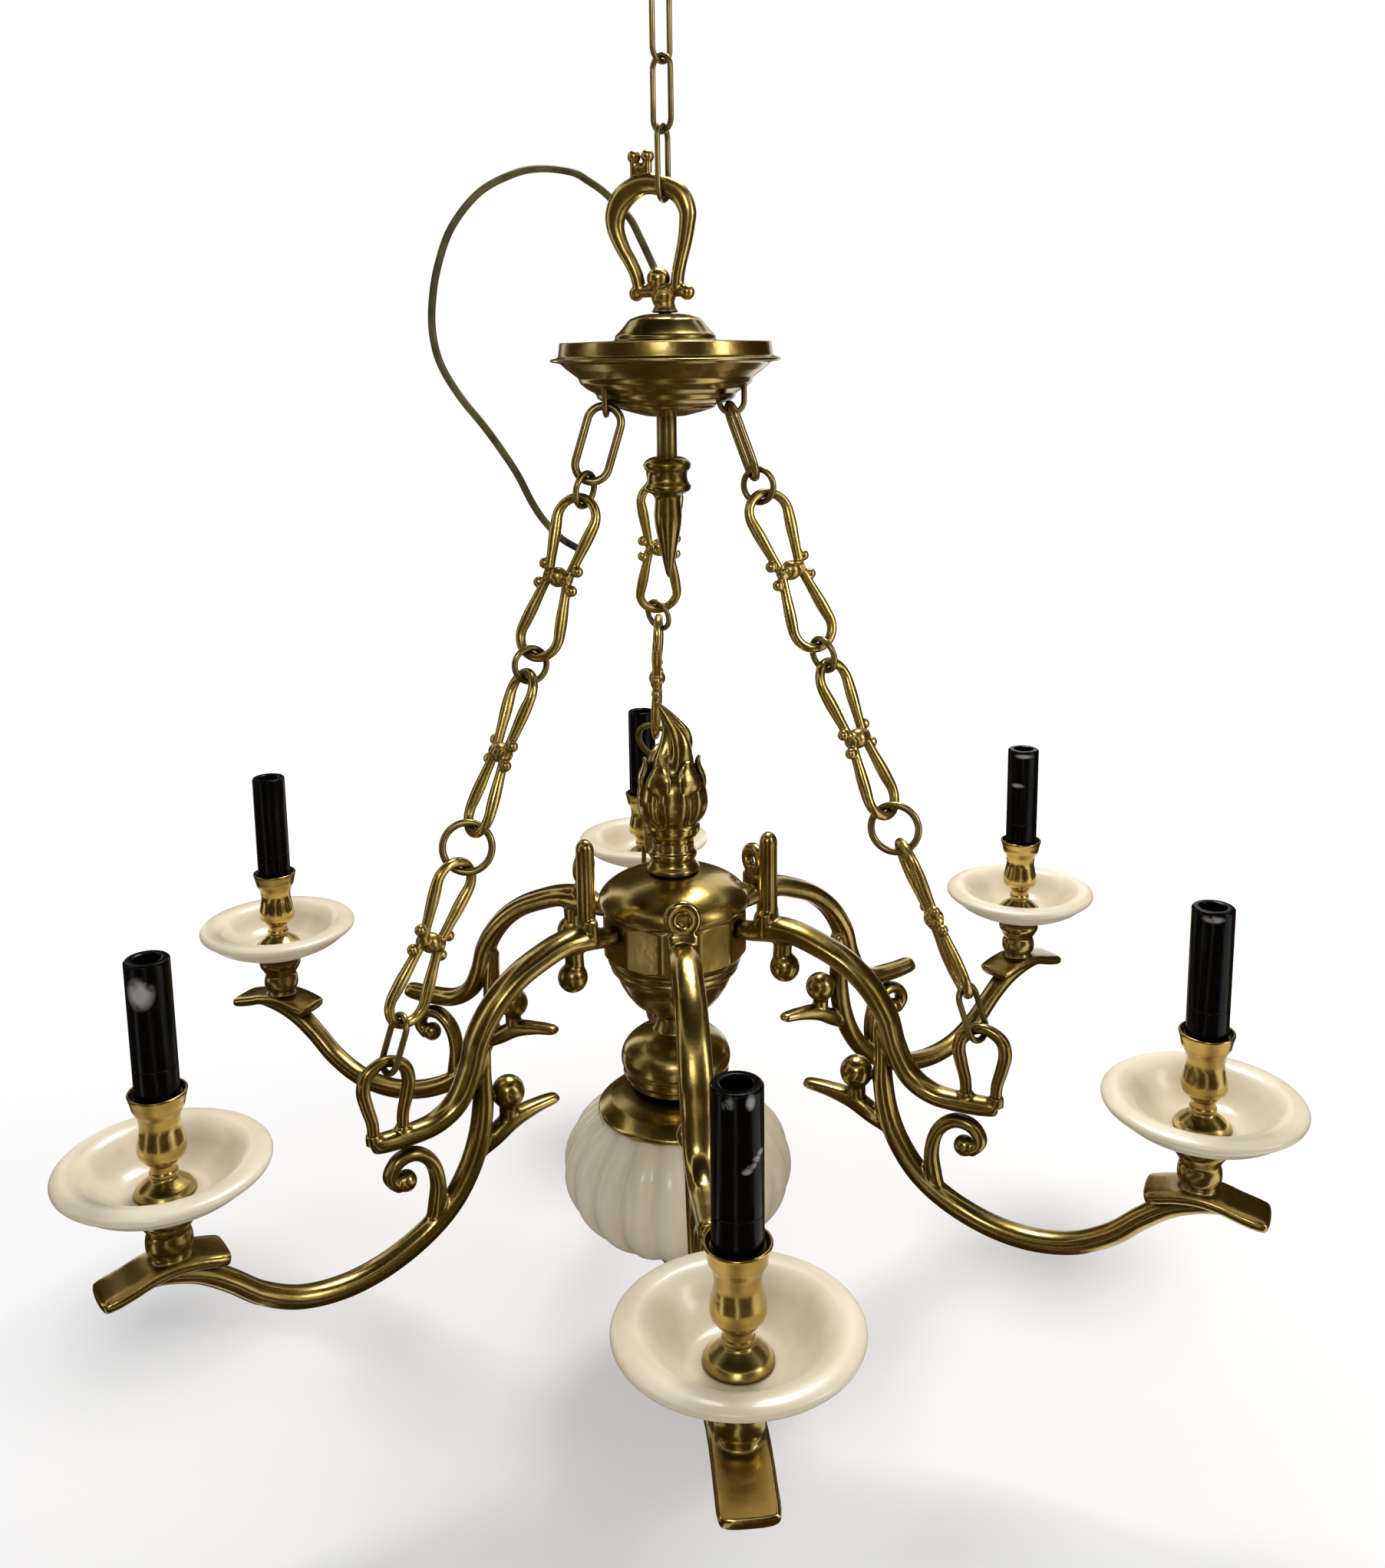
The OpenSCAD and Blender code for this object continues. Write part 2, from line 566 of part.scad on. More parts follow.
module arm(i) color(brass) at_rims() rotate([0, 0, arm_angle[i]]) {
    difference() {
        bar(arch, 2);
        translate([40, 0, root_z]) rotate([0, 90, 0]) cylinder(r = 2.7, h = 13.5);
    }
    bar(sweep, 2);
    bar(curl, 2, 6);
    bar(spur, 2, 6);
    // Square strap bent over the end of the second curve, which carries the pan
    bar(saddle, 2, 4);
    // Scroll ball on the spur, ball end of the curl, and the ball that hangs under the root
    translate([122, 0, -25]) sphere(r = 10.4);
    translate([125, 0, -46]) cylinder(r = 5, h = 15);
    translate([196.5, 0, -60]) sphere(r = 6.6);
    translate([78, 0, 37]) sphere(r = 9.6);
    translate([76, 0, 40]) cylinder(r = 6, h = 18);
    // Upright tab on the root: a shouldered stump on every arm, and on it a tall round-topped post where a
    // chain ends, or a ring
    hull() for (z = [62, 72]) translate([67, 0, z]) cube([9, 18, 4], center = true);
    if (chain_arm[i])
        hull() for (z = [70, 119]) translate([67, 0, z]) scale([0.85, 1, 1]) sphere(r = 6.6, $fn = 16);
    else
        translate([67, 0, 82.5]) rotate([0, 90, 0]) rotate_extrude() translate([7, 0]) circle(r = 2.8);
    // Seats of the loop on the foot
    if (chain_arm[i])
        for (r = [197, 215.5]) translate([r, 0, -30]) cylinder(r = 4.6, h = 6.5, $fn = 16);
    // Pad under the pan collar
    translate([arm_reach, 0, -60]) cylinder(r = 10, h = boss_z + 60, $fn = 24);
}

// Lyre loops that stand on the feet of the chain arms
module arm_loops() color(brass) at_rims() for (a = chain_angle) rotate([0, 0, a]) {
    foot = -23.45;
    half = [
        [9.3, foot, 3.6, 3.6], [9.8, -16, 3.7, 3.6], [12.6, -5, 4, 3.9], [14.2, 5, 4.2, 4.1],
        [11, 14, 3.9, 3.8]
    ];
    translate([loop_r, 0, 0]) bar(concat(
        [for (p = half) [-p[0], p[1], p[2], p[3]]], [[0, loop_z, loop_wire, loop_wire]],
        [for (i = [len(half) - 1 : -1 : 0]) half[i]]
    ), 3, 8);
}

// Turned collar under each drip pan
module pan_collars() color(brass) at_rims() for (a = arm_angle) rotate([0, 0, a])
    translate([arm_reach, 0, 0]) difference() {
        turned([
            [0, boss_z], [11.5, boss_z], [12.6, boss_z + 3], [12.4, boss_z + 8], [11, boss_z + 12],
            [13.5, boss_z + 16], [15.2, boss_z + 19], [15.2, boss_z + 22], [12, boss_z + 25],
            [11, -pan_depth - 0.05], [0, -pan_depth - 0.05]
        ]);
        translate([0, 0, boss_z + 3]) cylinder(r = nipple_r + 0.15, h = 50);
    }

// Ceramic drip pan: a thick shallow bowl with a broad rounded lip
module drip_pan(i) color(ceramic) at_rims() rotate([0, 0, arm_angle[i]]) translate([arm_reach, 0, 0])
    difference() {
        turned([
            [12, -pan_depth], [24, -pan_depth + 1], [36, -pan_depth + 5.5], [46, -pan_depth + 10.5],
            [53, -4.5], [pan_r - 0.6, -2.2], [pan_r, 0], [pan_r - 1.5, 2], [pan_r - 6, 3.2],
            [pan_r - 11, 3.2], [41.5, 1.2], [37.5, -3], [34, -8], [29.5, -12.5], [24, -pan_depth + 5.4],
            [18.5, -pan_depth + pan_wall], [0, -pan_depth + pan_wall], [0, -pan_depth]
        ]);
        translate([0, 0, -50]) cylinder(r = nipple_r + 0.4, h = 60);
    }

// Turned candle cup: bell foot, waist, bulb and flared mouth
module candle_cup(i) color(brass) at_rims() rotate([0, 0, arm_angle[i]]) translate([arm_reach, 0, 0])
    difference() {
        foot = -pan_depth + pan_wall + 0.05;
        turned([
            [0, foot], [16.2, foot], [16.4, foot + 1.5], [14.2, foot + 4.5], [10.5, foot + 7],
            [7.6, foot + 9], [6.8, foot + 10.2], [7.7, foot + 11.2], [7.7, foot + 12.6], [6.8, foot + 14],
            [7, foot + 17.5], [9.6, foot + 19.5], [12.2, foot + 22.5], [13, foot + 25.8],
            [12.7, foot + 29.5], [11.6, foot + 34], [10.8, foot + 38], [10.7, foot + 41],
            [11.3, foot + 45.5], [13.7, foot + 49.8], [14.5, foot + 54], [15.8, foot + 58.5],
            [14.4, foot + 59], [13, foot + 56], [0, foot + 56]
        ]);
        translate([0, 0, -50]) cylinder(r = nipple_r + 0.15, h = 50 + nipple_top + 0.5);
        translate([0, 0, cup_seat]) cylinder(r = holder_r + 0.15, h = 30);
    }

// Bakelite lampholder tube with the lamp socket in its top
module lampholder(i) color(bakelite) at_rims() rotate([0, 0, arm_angle[i]]) translate([arm_reach, 0, 0])
    difference() {
        turned([
            [0, cup_seat + 0.1], [holder_r, cup_seat + 0.1], [holder_r, holder_top - 1],
            [holder_r - 1, holder_top], [0, holder_top]
        ]);
        translate([0, 0, holder_top - socket_depth]) cylinder(r = socket_r, h = socket_depth + 1);
    }

// Threaded nipples that clamp cup, pan and collar together
module nipples() color(dark_brass) at_rims() for (a = arm_angle) rotate([0, 0, a])
    translate([arm_reach, 0, boss_z + 3.1]) cylinder(r = nipple_r, h = nipple_top - boss_z - 3.1);

// Power cord: out of the shackle's knot, behind its left limb, round in an open loop to a bare end
cord_route = [
    [-4, 3, 471], [-7, 9, 479], [-13, 14, 493], [-19, 20, 506], [-27, 24, 515], [-35, 25, 523],
    [-44, 23.5, 529], [-54, 20, 534], [-72, 14, 535.5], [-89, 9, 532], [-110, 2.5, 520.5],
    [-127, -2, 500], [-136, -5, 477], [-140, -7, 456], [-140.5, -7, 437], [-136.5, -6.5, 419],
    [-126, -5.5, 400], [-112, -4.5, 381.5], [-101.5, -3.5, 366], [-92.5, -2.5, 351], [-84.5, -1, 334],
    [-77, 0, 322], [-67, 1, 311], [-57, 1.5, 304.5]
];

module cord() color(cord_colour) at_rims() rope(curve(cord_route, 3), cord_d / 2);

ceiling_link(0);  // ceiling_link_1
ceiling_link(1);  // ceiling_link_2
ceiling_link(2);  // ceiling_link_3
hanger_lyre();
canopy_lid();
canopy_bowl();
canopy_rod();
stem_tube();
stem_drop();
chain_eyes();
oval_link(0, left_turn);  // left_oval_link
lyre_links(0, left_turn);  // left_lyre_links
rings(0, left_turn);  // left_rings
oval_link(1, right_turn);  // right_oval_link
lyre_links(1, right_turn);  // right_lyre_links
rings(1, right_turn);  // right_rings
oval_link(2, back_turn);  // back_oval_link
lyre_links(2, back_turn);  // back_lyre_links
rings(2, back_turn);  // back_rings
flame_finial();
flame_cup();
neck_rings();
hub_dome();
hub_drum();
hub_bowl();
vase();
ball_cap();
ceramic_ball();
bottom_finial();
centre_rod();
for (i = [0 : 5]) {
    arm(i);
    drip_pan(i);
    candle_cup(i);
    lampholder(i);
}
arm_loops();
pan_collars();
arm_screws();
terminal_block();
nipples();
cord();
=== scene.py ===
import bmesh
import bpy
import numpy as np
from mathutils import Matrix, Vector


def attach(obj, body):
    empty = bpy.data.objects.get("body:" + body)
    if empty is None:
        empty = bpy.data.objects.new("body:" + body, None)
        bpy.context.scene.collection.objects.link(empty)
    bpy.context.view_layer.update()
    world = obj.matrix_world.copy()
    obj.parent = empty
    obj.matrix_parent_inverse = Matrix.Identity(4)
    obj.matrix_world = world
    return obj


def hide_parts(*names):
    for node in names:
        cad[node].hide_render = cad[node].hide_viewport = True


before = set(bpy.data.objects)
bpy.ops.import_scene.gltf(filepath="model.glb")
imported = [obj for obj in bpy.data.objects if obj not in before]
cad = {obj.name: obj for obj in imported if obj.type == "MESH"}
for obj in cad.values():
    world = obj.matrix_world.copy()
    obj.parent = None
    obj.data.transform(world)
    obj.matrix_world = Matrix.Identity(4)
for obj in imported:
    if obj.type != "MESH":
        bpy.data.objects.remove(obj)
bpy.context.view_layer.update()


# VIEW AND STUDIO
# The camera stands 0.9 m in front of the column, 0.42 m above the pan rims, and looks 10 degrees down.
# The room is a plain white studio with three large soft lamps, and brown cloths that only the polished
# metal sees, as photographers hang them so that brass has dark sides to its bright ones.

def turn(axis, degrees):
    """The 3 x 3 matrix of a turn about the x, y or z axis."""
    return np.array(Matrix.Rotation(np.radians(degrees), 3, axis))


def linear(hex_colour):
    """An sRGB hex colour as linear RGBA: c / 12.92 below 0.04, otherwise ((c + 0.055) / 1.055) ^ 2.4."""
    c = np.array([int(hex_colour[i:i + 2], 16) for i in (1, 3, 5)]) / 255
    return (*np.where(c < 0.04, c / 12.92, ((c + 0.055) / 1.055) ** 2.4), 1)


def add(tree, kind, inputs=None, **settings):
    """Adds a node with its settings. Each input is linked if it's given a socket, and set otherwise."""
    node = tree.nodes.new(kind)
    for key, value in settings.items():
        setattr(node, key, value)
    for key, value in (inputs or {}).items():
        if isinstance(value, bpy.types.NodeSocket):
            tree.links.new(value, node.inputs[key])
        else:
            node.inputs[key].default_value = value
    return node


def stand(name, data):
    """A new object with this data, standing in the scene."""
    thing = bpy.data.objects.new(name, data)
    bpy.context.collection.objects.link(thing)
    return thing


# Height of the drip pans' rims in metres, from which the pieces below are measured in millimetres
rims = -0.637
eye = turn("Z", -4.42) @ (0, -0.911, 0.423) + (0, 0, rims)
look = turn("Z", -5.34) @ turn("X", -10.07) @ turn("Y", 0.69)
camera = stand("camera", bpy.data.cameras.new("camera"))
camera.matrix_world = Matrix.LocRotScale(
    Vector(eye), Matrix(np.column_stack([look[:, 0], look[:, 2], -look[:, 1]])).to_quaternion(), None)
camera.data.sensor_fit = "VERTICAL"
camera.data.sensor_height = 36
camera.data.lens = 33.45
camera.data.shift_y = -0.1086
camera.data.clip_start = 0.02
bpy.context.scene.camera = camera
bpy.context.scene.view_settings.view_transform = "Standard"


def direct_view(tree):
    """1 for what the camera, a reflection or a refraction sees, and 0 for light that falls on things."""
    ray = add(tree, "ShaderNodeLightPath")
    seen = add(tree, "ShaderNodeMath", {0: ray.outputs["Is Camera Ray"], 1: ray.outputs["Is Glossy Ray"]},
               operation="MAXIMUM")
    return add(tree, "ShaderNodeMath", {0: seen.outputs[0], 1: ray.outputs["Is Transmission Ray"]},
               operation="MAXIMUM").outputs[0]


# White behind everything and in the metal's reflections; a softer grey light from all round
world = bpy.data.worlds.new("studio")
world.use_nodes = True
sky = world.node_tree
sky.nodes.clear()
soft = add(sky, "ShaderNodeBackground", {"Color": linear("#F2F2F4"), "Strength": 0.45})
white = add(sky, "ShaderNodeBackground", {"Color": (1, 1, 1, 1), "Strength": 1.0})
both = add(sky, "ShaderNodeMixShader", {0: direct_view(sky), 1: soft.outputs[0], 2: white.outputs[0]})
add(sky, "ShaderNodeOutputWorld", {"Surface": both.outputs[0]})
bpy.context.scene.world = world


def softbox(name, place, aim, width, height, watts):
    """A rectangular lamp at a place, facing the point that it's aimed at."""
    lamp = bpy.data.lights.new(name, "AREA")
    lamp.shape = "RECTANGLE"
    lamp.size, lamp.size_y, lamp.energy = width, height, watts
    box = stand(name, lamp)
    box.matrix_world = Matrix.LocRotScale(
        Vector(place), (Vector(aim) - Vector(place)).to_track_quat("-Z", "Y"), None)


softbox("top_lamp", (0.25, 0.7, 1.1), (0, 0, -0.6), 0.7, 0.7, 27)
softbox("front_lamp", (-0.35, -1.75, 0.55), (0, 0, -0.55), 0.5, 0.35, 4.5)
softbox("side_lamp", (1.5, -0.9, 0.2), (0, 0, -0.6), 0.35, 0.7, 5)


def cloth(name, shape, colour):
    """A brown cloth of four-cornered faces, seen by reflections alone."""
    mesh = bpy.data.meshes.new(name)
    mesh.from_pydata(shape[0].tolist(), [], shape[1].tolist())
    felt = bpy.data.materials.new(name)
    felt.use_nodes = True
    felt.node_tree.nodes.clear()
    matt = add(felt.node_tree, "ShaderNodeBsdfDiffuse", {"Color": linear(colour)})
    add(felt.node_tree, "ShaderNodeOutputMaterial", {"Surface": matt.outputs[0]})
    mesh.materials.append(felt)
    hung = stand(name, mesh)
    for way in ("camera", "diffuse", "transmission", "volume_scatter", "shadow"):
        setattr(hung, "visible_" + way, False)


def sector(start, end, inner, outer, low, high):
    """Strip of twelve faces between two arcs of these radii and heights, from start to end degrees."""
    u = np.radians(np.linspace(start, end, 13))
    arcs = [np.column_stack([r * np.cos(u), r * np.sin(u), 0 * u + z])
            for r, z in ((inner, low), (outer, high))]
    k = np.arange(12)
    return np.vstack(arcs), np.column_stack([k, k + 1, k + 14, k + 13])


# Five cloths hang round the object, with gaps of 6 to 20 degrees that shine as narrow windows. Five lie on
# the floor, with gaps that show white board, a round one lies under the object and one spans the ceiling
near, far = 0.3, 2.4
on_floor = -0.89
for start, end in ((-92, -40), (-20, 56), (72, 118), (130, 172), (186, 262)):
    cloth("hung_cloth", sector(start, end, far, far, -0.88, 1.5), "#4A3A18")
for start, end in ((-96, -48), (-12, 62), (74, 130), (136, 204), (214, 258)):
    cloth("floor_cloth", sector(start, end, near, far, on_floor, on_floor), "#453518")
cloth("round_cloth", sector(0, 360, 0.001, near, on_floor, on_floor), "#453518")
cloth("ceiling_cloth", sector(0, 360, 0.001, 2.15, 1.6, 1.6), "#2E1F0A")

# The floor: white board that shows the shadow, as bright as the room behind it where nothing shades it
board = bpy.data.meshes.new("floor")
board.from_pydata([(-9, -9, -0.9), (9, -9, -0.9), (9, 9, -0.9), (-9, 9, -0.9)], [], [(0, 1, 2, 3)])
floor = stand("floor", board)
paper = bpy.data.materials.new("white_board")
paper.use_nodes = True
tree = paper.node_tree
tree.nodes.clear()
from_middle = add(tree, "ShaderNodeVectorMath", {0: add(tree, "ShaderNodeTexCoord").outputs["Object"]},
                  operation="LENGTH")
lift = add(tree, "ShaderNodeMapRange", {
    "Value": from_middle.outputs["Value"], "From Min": 0.75, "From Max": 2.4,
    "To Min": 0.12, "To Max": 1.0})
strength = add(tree, "ShaderNodeMath", {0: direct_view(tree), 1: lift.outputs[0]}, operation="MULTIPLY")
glow = add(tree, "ShaderNodeEmission", {"Color": (1, 1, 1, 1), "Strength": strength.outputs[0]})
matt = add(tree, "ShaderNodeBsdfDiffuse", {"Color": linear("#DCDBDA")})
lit = add(tree, "ShaderNodeAddShader", {0: matt.outputs[0], 1: glow.outputs[0]})
add(tree, "ShaderNodeOutputMaterial", {"Surface": lit.outputs[0]})
board.materials.append(paper)


# POWER CORD
# Round two-core mains lead in an olive gold sheath, bent stiffly: it leaves the shackle's knot, rises
# behind the left limb, makes one open loop and ends in bare dark wire ends beside the left chain.

def curve(points, steps):
    """Smooth curve through points: the cubic between two points whose slope at each is half the difference
    of that point's neighbours."""
    p = np.asarray(points, float)
    p = np.vstack([p[0], p, p[-1]])
    a, b, c, d = (p[i:len(p) - 3 + i, None] for i in range(4))
    t = (np.arange(steps) / steps)[None, :, None]
    q = b + t / 2 * (c - a) + t ** 2 * (a - 2.5 * b + 2 * c - d / 2)
    q += t ** 3 * (1.5 * (b - c) + (d - a) / 2)
    return np.vstack([q.reshape(-1, p.shape[1]), p[-1:]])


def net(rows, columns, ring=False):
    """Four-cornered faces of a grid of points whose columns close round, and its rows too in a ring."""
    i, k = np.meshgrid(np.arange(rows if ring else rows - 1), np.arange(columns), indexing="ij")
    below, beside = (i + 1) % rows * columns, (k + 1) % columns
    return np.stack([i * columns + k, below + k, below + beside, i * columns + beside], -1).reshape(-1, 4)


def rope(path, radius, around=24):
    """Tube along a path: circles square to it, carried from one to the next without twist, its ends drawn
    in to points."""
    p = np.asarray(path, float)
    r = np.broadcast_to(radius, len(p)).astype(float)
    ends = [0] * 3 + list(range(len(p))) + [len(p) - 1] * 3
    shut = np.array([0, 0.7, 0.95] + [1] * len(p) + [0.95, 0.7, 0])
    t = np.gradient(p, axis=0)
    t /= np.linalg.norm(t, axis=1)[:, None]
    side = np.cross(t, (0.02, 1, 0.03))
    side /= np.linalg.norm(side, axis=1)[:, None]
    other = np.cross(t, side)
    a = np.linspace(0, 2 * np.pi, around, endpoint=False)[None, :, None]
    p, r, side, other = p[ends], (r[ends] * shut)[:, None, None], side[ends][:, None], other[ends][:, None]
    push = np.array([-1, -0.7, -0.3] + [0] * (len(p) - 6) + [0.3, 0.7, 1])[:, None] * t[ends] * 0.5
    rings = (p + push)[:, None] + r * (np.cos(a) * side + np.sin(a) * other)
    return rings.reshape(-1, 3), net(len(p), around)


def put(name, shape, material, body, slot, *nodes):
    """A finished piece from points in millimetres above the pan rims. Points that meet are merged, faces
    are turned outwards, and it rides on its body in place of its plain nodes."""
    points, faces = shape
    mesh = bpy.data.meshes.new(name)
    mesh.from_pydata((points / 1000 + (0, 0, rims)).tolist(), [], faces.tolist())
    work = bmesh.new()
    work.from_mesh(mesh)
    bmesh.ops.remove_doubles(work, verts=work.verts, dist=2e-6)
    bmesh.ops.recalc_face_normals(work, faces=work.faces)
    work.to_mesh(mesh)
    work.free()
    mesh.shade_smooth()
    mesh.materials.append(material)
    piece = stand(name, mesh)
    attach(piece, body)
    if nodes:
        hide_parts(*nodes)
    return piece


def finish(name):
    """A new material with a plain surface shader, and the places of its object."""
    material = bpy.data.materials.new(name)
    material.use_nodes = True
    tree = material.node_tree
    tree.nodes.clear()
    skin = add(tree, "ShaderNodeBsdfPrincipled")
    add(tree, "ShaderNodeOutputMaterial", {"Surface": skin.outputs[0]})
    return material, tree, skin, add(tree, "ShaderNodeTexCoord").outputs["Object"]


def patches(tree, pattern, low, dark, high, light):
    """The colour that goes from dark, where the pattern is low, to light, where it is high."""
    ramp = add(tree, "ShaderNodeValToRGB", {"Fac": pattern.outputs["Fac"]})
    for stop, position, shade in zip(ramp.color_ramp.elements, (low, high), (dark, light)):
        stop.position, stop.color = position, linear(shade)
    return ramp.outputs["Color"]


def hollows(tree, reach, shut, open_enough, most):
    """How much painted shade lies in a place, with dirt as well on the brass: most where little air reaches
    it within this many metres, in hollows and between parts, and 0 where it stands open."""
    air = add(tree, "ShaderNodeAmbientOcclusion", {"Distance": reach}, samples=8)
    return add(tree, "ShaderNodeMapRange", {
        "Value": air.outputs["AO"], "From Min": shut, "From Max": open_enough, "To Min": most,
        "To Max": 0.0}).outputs[0]


# PVC sheath, extruded: a satin olive gold, darker in patches where hands and dust have dirtied it
sheath, tree, skin, place = finish("pvc_sheath_olive")
dirt = add(tree, "ShaderNodeTexNoise", {"Vector": place, "Scale": 60, "Detail": 3})
tone = patches(tree, dirt, 0.35, "#463E1A", 0.65, "#70642F")
skin.inputs["Roughness"].default_value = 0.42

cord_route = [
    [-4, 3, 471], [-7, 9, 479], [-13, 14, 493], [-19, 20, 506], [-27, 24, 515], [-35, 25, 523],
    [-44, 23.5, 529], [-54, 20, 534], [-72, 14, 535.5], [-89, 9, 532], [-110, 2.5, 520.5],
    [-127, -2, 500], [-136, -5, 477], [-140, -7, 456], [-140.5, -7, 437], [-136.5, -6.5, 419],
    [-126, -5.5, 400], [-112, -4.5, 381.5], [-101.5, -3.5, 366], [-92.5, -2.5, 351], [-84.5, -1, 334],
    [-77, 0, 322], [-67, 1, 311], [-57, 1.5, 304.5]
]
# The last 9 mm are the bare ends of the cores, twisted together and gone dark green
tip = add(tree, "ShaderNodeVectorMath", {0: place, 1: np.array(cord_route[-1]) / 1000 + (0, 0, rims)},
          operation="DISTANCE")
covered = add(tree, "ShaderNodeMapRange", {
    "Value": tip.outputs["Value"], "From Min": 0.0085, "From Max": 0.0095})
colour = add(tree, "ShaderNodeMix", {0: covered.outputs[0], 6: linear("#1C2A1E"), 7: tone},
             data_type="RGBA")
tree.links.new(colour.outputs[2], skin.inputs["Base Color"])
route = curve(cord_route, 6)
cord = put("power_cord", rope(route, 2.3), sheath, "canopy", "cord_sheath", "cord")


# CEILING CHAIN AND THE PLAIN RINGS
# Links and rings of drawn brass wire, bent and soldered, never polished since: darker and duller than
# the castings. The frame's own solids are shown in this finish, and so are those hidden inside.

def brass(name, bright, dull, dark, gloss):
    """Brass with cloudy tarnish about 30 mm across, dark dirt and painted shade in the hollows and between
    parts, a skin that ripples by hundredths of a millimetre, and old lacquer. gloss is the roughness of a
    clean place."""
    material, tree, skin, place = finish(name)
    cloud = add(tree, "ShaderNodeTexNoise", {"Vector": place, "Scale": 34, "Detail": 2, "Roughness": 0.4})
    tone = patches(tree, cloud, 0.28, dull, 0.66, bright)
    # Dirt and painted shade: the dark colour goes where little light reaches, in hollows and between parts
    dirt_and_shade = hollows(tree, 0.014, 0.35, 0.95, 1.0)
    colour = add(tree, "ShaderNodeMix", {0: dirt_and_shade, 6: tone, 7: linear(dark)}, data_type="RGBA")
    tree.links.new(colour.outputs[2], skin.inputs["Base Color"])
    wear_and_sheen = add(tree, "ShaderNodeMapRange", {
        "Value": cloud.outputs["Fac"], "From Min": 0.3, "From Max": 0.7,
        "To Min": gloss + 0.14, "To Max": gloss})
    rough = add(tree, "ShaderNodeMath", {0: dirt_and_shade, 1: 0.22, 2: wear_and_sheen.outputs[0]}, operation="MULTIPLY_ADD")
    tree.links.new(rough.outputs[0], skin.inputs["Roughness"])
    ripple = add(tree, "ShaderNodeTexNoise", {"Vector": place, "Scale": 160, "Detail": 3, "Roughness": 0.5})
    relief = add(tree, "ShaderNodeBump", {"Height": ripple.outputs["Fac"], "Strength": 0.35,
                                          "Distance": 0.0004})
    tree.links.new(relief.outputs[0], skin.inputs["Normal"])
    skin.inputs["Metallic"].default_value = 1.0
    skin.inputs["Coat Weight"].default_value = 0.4
    skin.inputs["Coat Roughness"].default_value = 0.12
    return material


# The drawn wire has gone brown and dull. The castings keep a deep gloss, gold on their ridges and dark
# brown in their hollows, from dirt and painted shade. The shackle and the lyre links have a paler copy of
# the castings' brass: painted light, for the brighter light that falls on them
wire = brass("drawn_brass_tarnished", "#BCA566", "#7E6832", "#3A2C10", 0.26)
cast = brass("cast_brass_aged", "#CCB066", "#8F7735", "#3E2C0C", 0.17)
# Painted light: a paler copy of the cast brass for the shackle and lyre links, which catch brighter light
painted_light_brass = brass("cast_brass_painted_light", "#ECD07A", "#BA9A4C", "#4C3610", 0.21)


def coat(material, *nodes):
    """Gives the frame's own solids a finish."""
    for node in nodes:
        for slot in cad[node].material_slots:
            slot.material = material


coat(wire, "ceiling_link_1", "ceiling_link_2", "ceiling_link_3", "canopy_rod", "stem_tube", "chain_eyes",
     "left_oval_link", "left_rings", "right_oval_link", "right_rings", "back_oval_link", "back_rings",
     "centre_rod", "arm_screws", "nipples", "terminal_block")


# SHACKLE
# Cast loop, thick at its left shoulder and thin where its limbs run down to the knot of balls, with two
# pearls over a leaf on its top. The chain bears under the top, and it screws on the canopy's rod.

def bar(points, steps=10, around=40, square=2.6, nose=0.0):
    """Cast bar in the XZ plane. Each point is [x, z, half thickness, half width]. The section is the curve
    |side| ^ square + |up| ^ square = 1, an ellipse where square is 2 and nearer a rectangle above. The ends
    are drawn in by a quarter circle over nose millimetres."""
    q = curve(points, steps)
    t = np.gradient(q[:, :2], axis=0)
    t /= np.linalg.norm(t, axis=1)[:, None]
    turns = np.linspace(0, np.pi / 2, 5)
    ends = [0] * 5 + list(range(len(q))) + [len(q) - 1] * 5
    shut = np.concatenate([np.cos(turns[::-1]), np.ones(len(q)), np.cos(turns)])[:, None]
    out = np.concatenate([-np.sin(turns[::-1]), np.zeros(len(q)), np.sin(turns)]) * nose
    q, t = q[ends], t[ends]
    q[:, :2] += t * out[:, None]
    a = np.linspace(0, 2 * np.pi, around, endpoint=False)[None]
    side = np.sign(np.cos(a)) * np.abs(np.cos(a)) ** (2 / square)
    up = np.sign(np.sin(a)) * np.abs(np.sin(a)) ** (2 / square)
    thick, wide = q[:, 2:3] * shut, q[:, 3:4] * shut
    across = q[:, :1] - up * thick * t[:, 1:]
    height = q[:, 1:2] + up * thick * t[:, :1]
    return np.stack([across, side * wide, height], -1).reshape(-1, 3), net(len(q), around)


def ball(centre, radius, stretch=(1, 1, 1)):
    """Ball: circles of latitude about the upright axis, stretched along x, y and z."""
    v, u = np.meshgrid(np.linspace(-np.pi / 2, np.pi / 2, 17),
                       np.linspace(0, 2 * np.pi, 32, endpoint=False), indexing="ij")
    points = np.stack([np.cos(v) * np.cos(u), np.cos(v) * np.sin(u), np.sin(v)], -1).reshape(-1, 3)
    return points * radius * np.array(stretch) + centre, net(17, 32)


def together(*shapes):
    """Several shapes as one list of points and faces."""
    starts = np.cumsum([0] + [len(points) for points, _ in shapes[:-1]])
    return np.vstack([s[0] for s in shapes]), np.vstack([s[1] + n for s, n in zip(shapes, starts)])


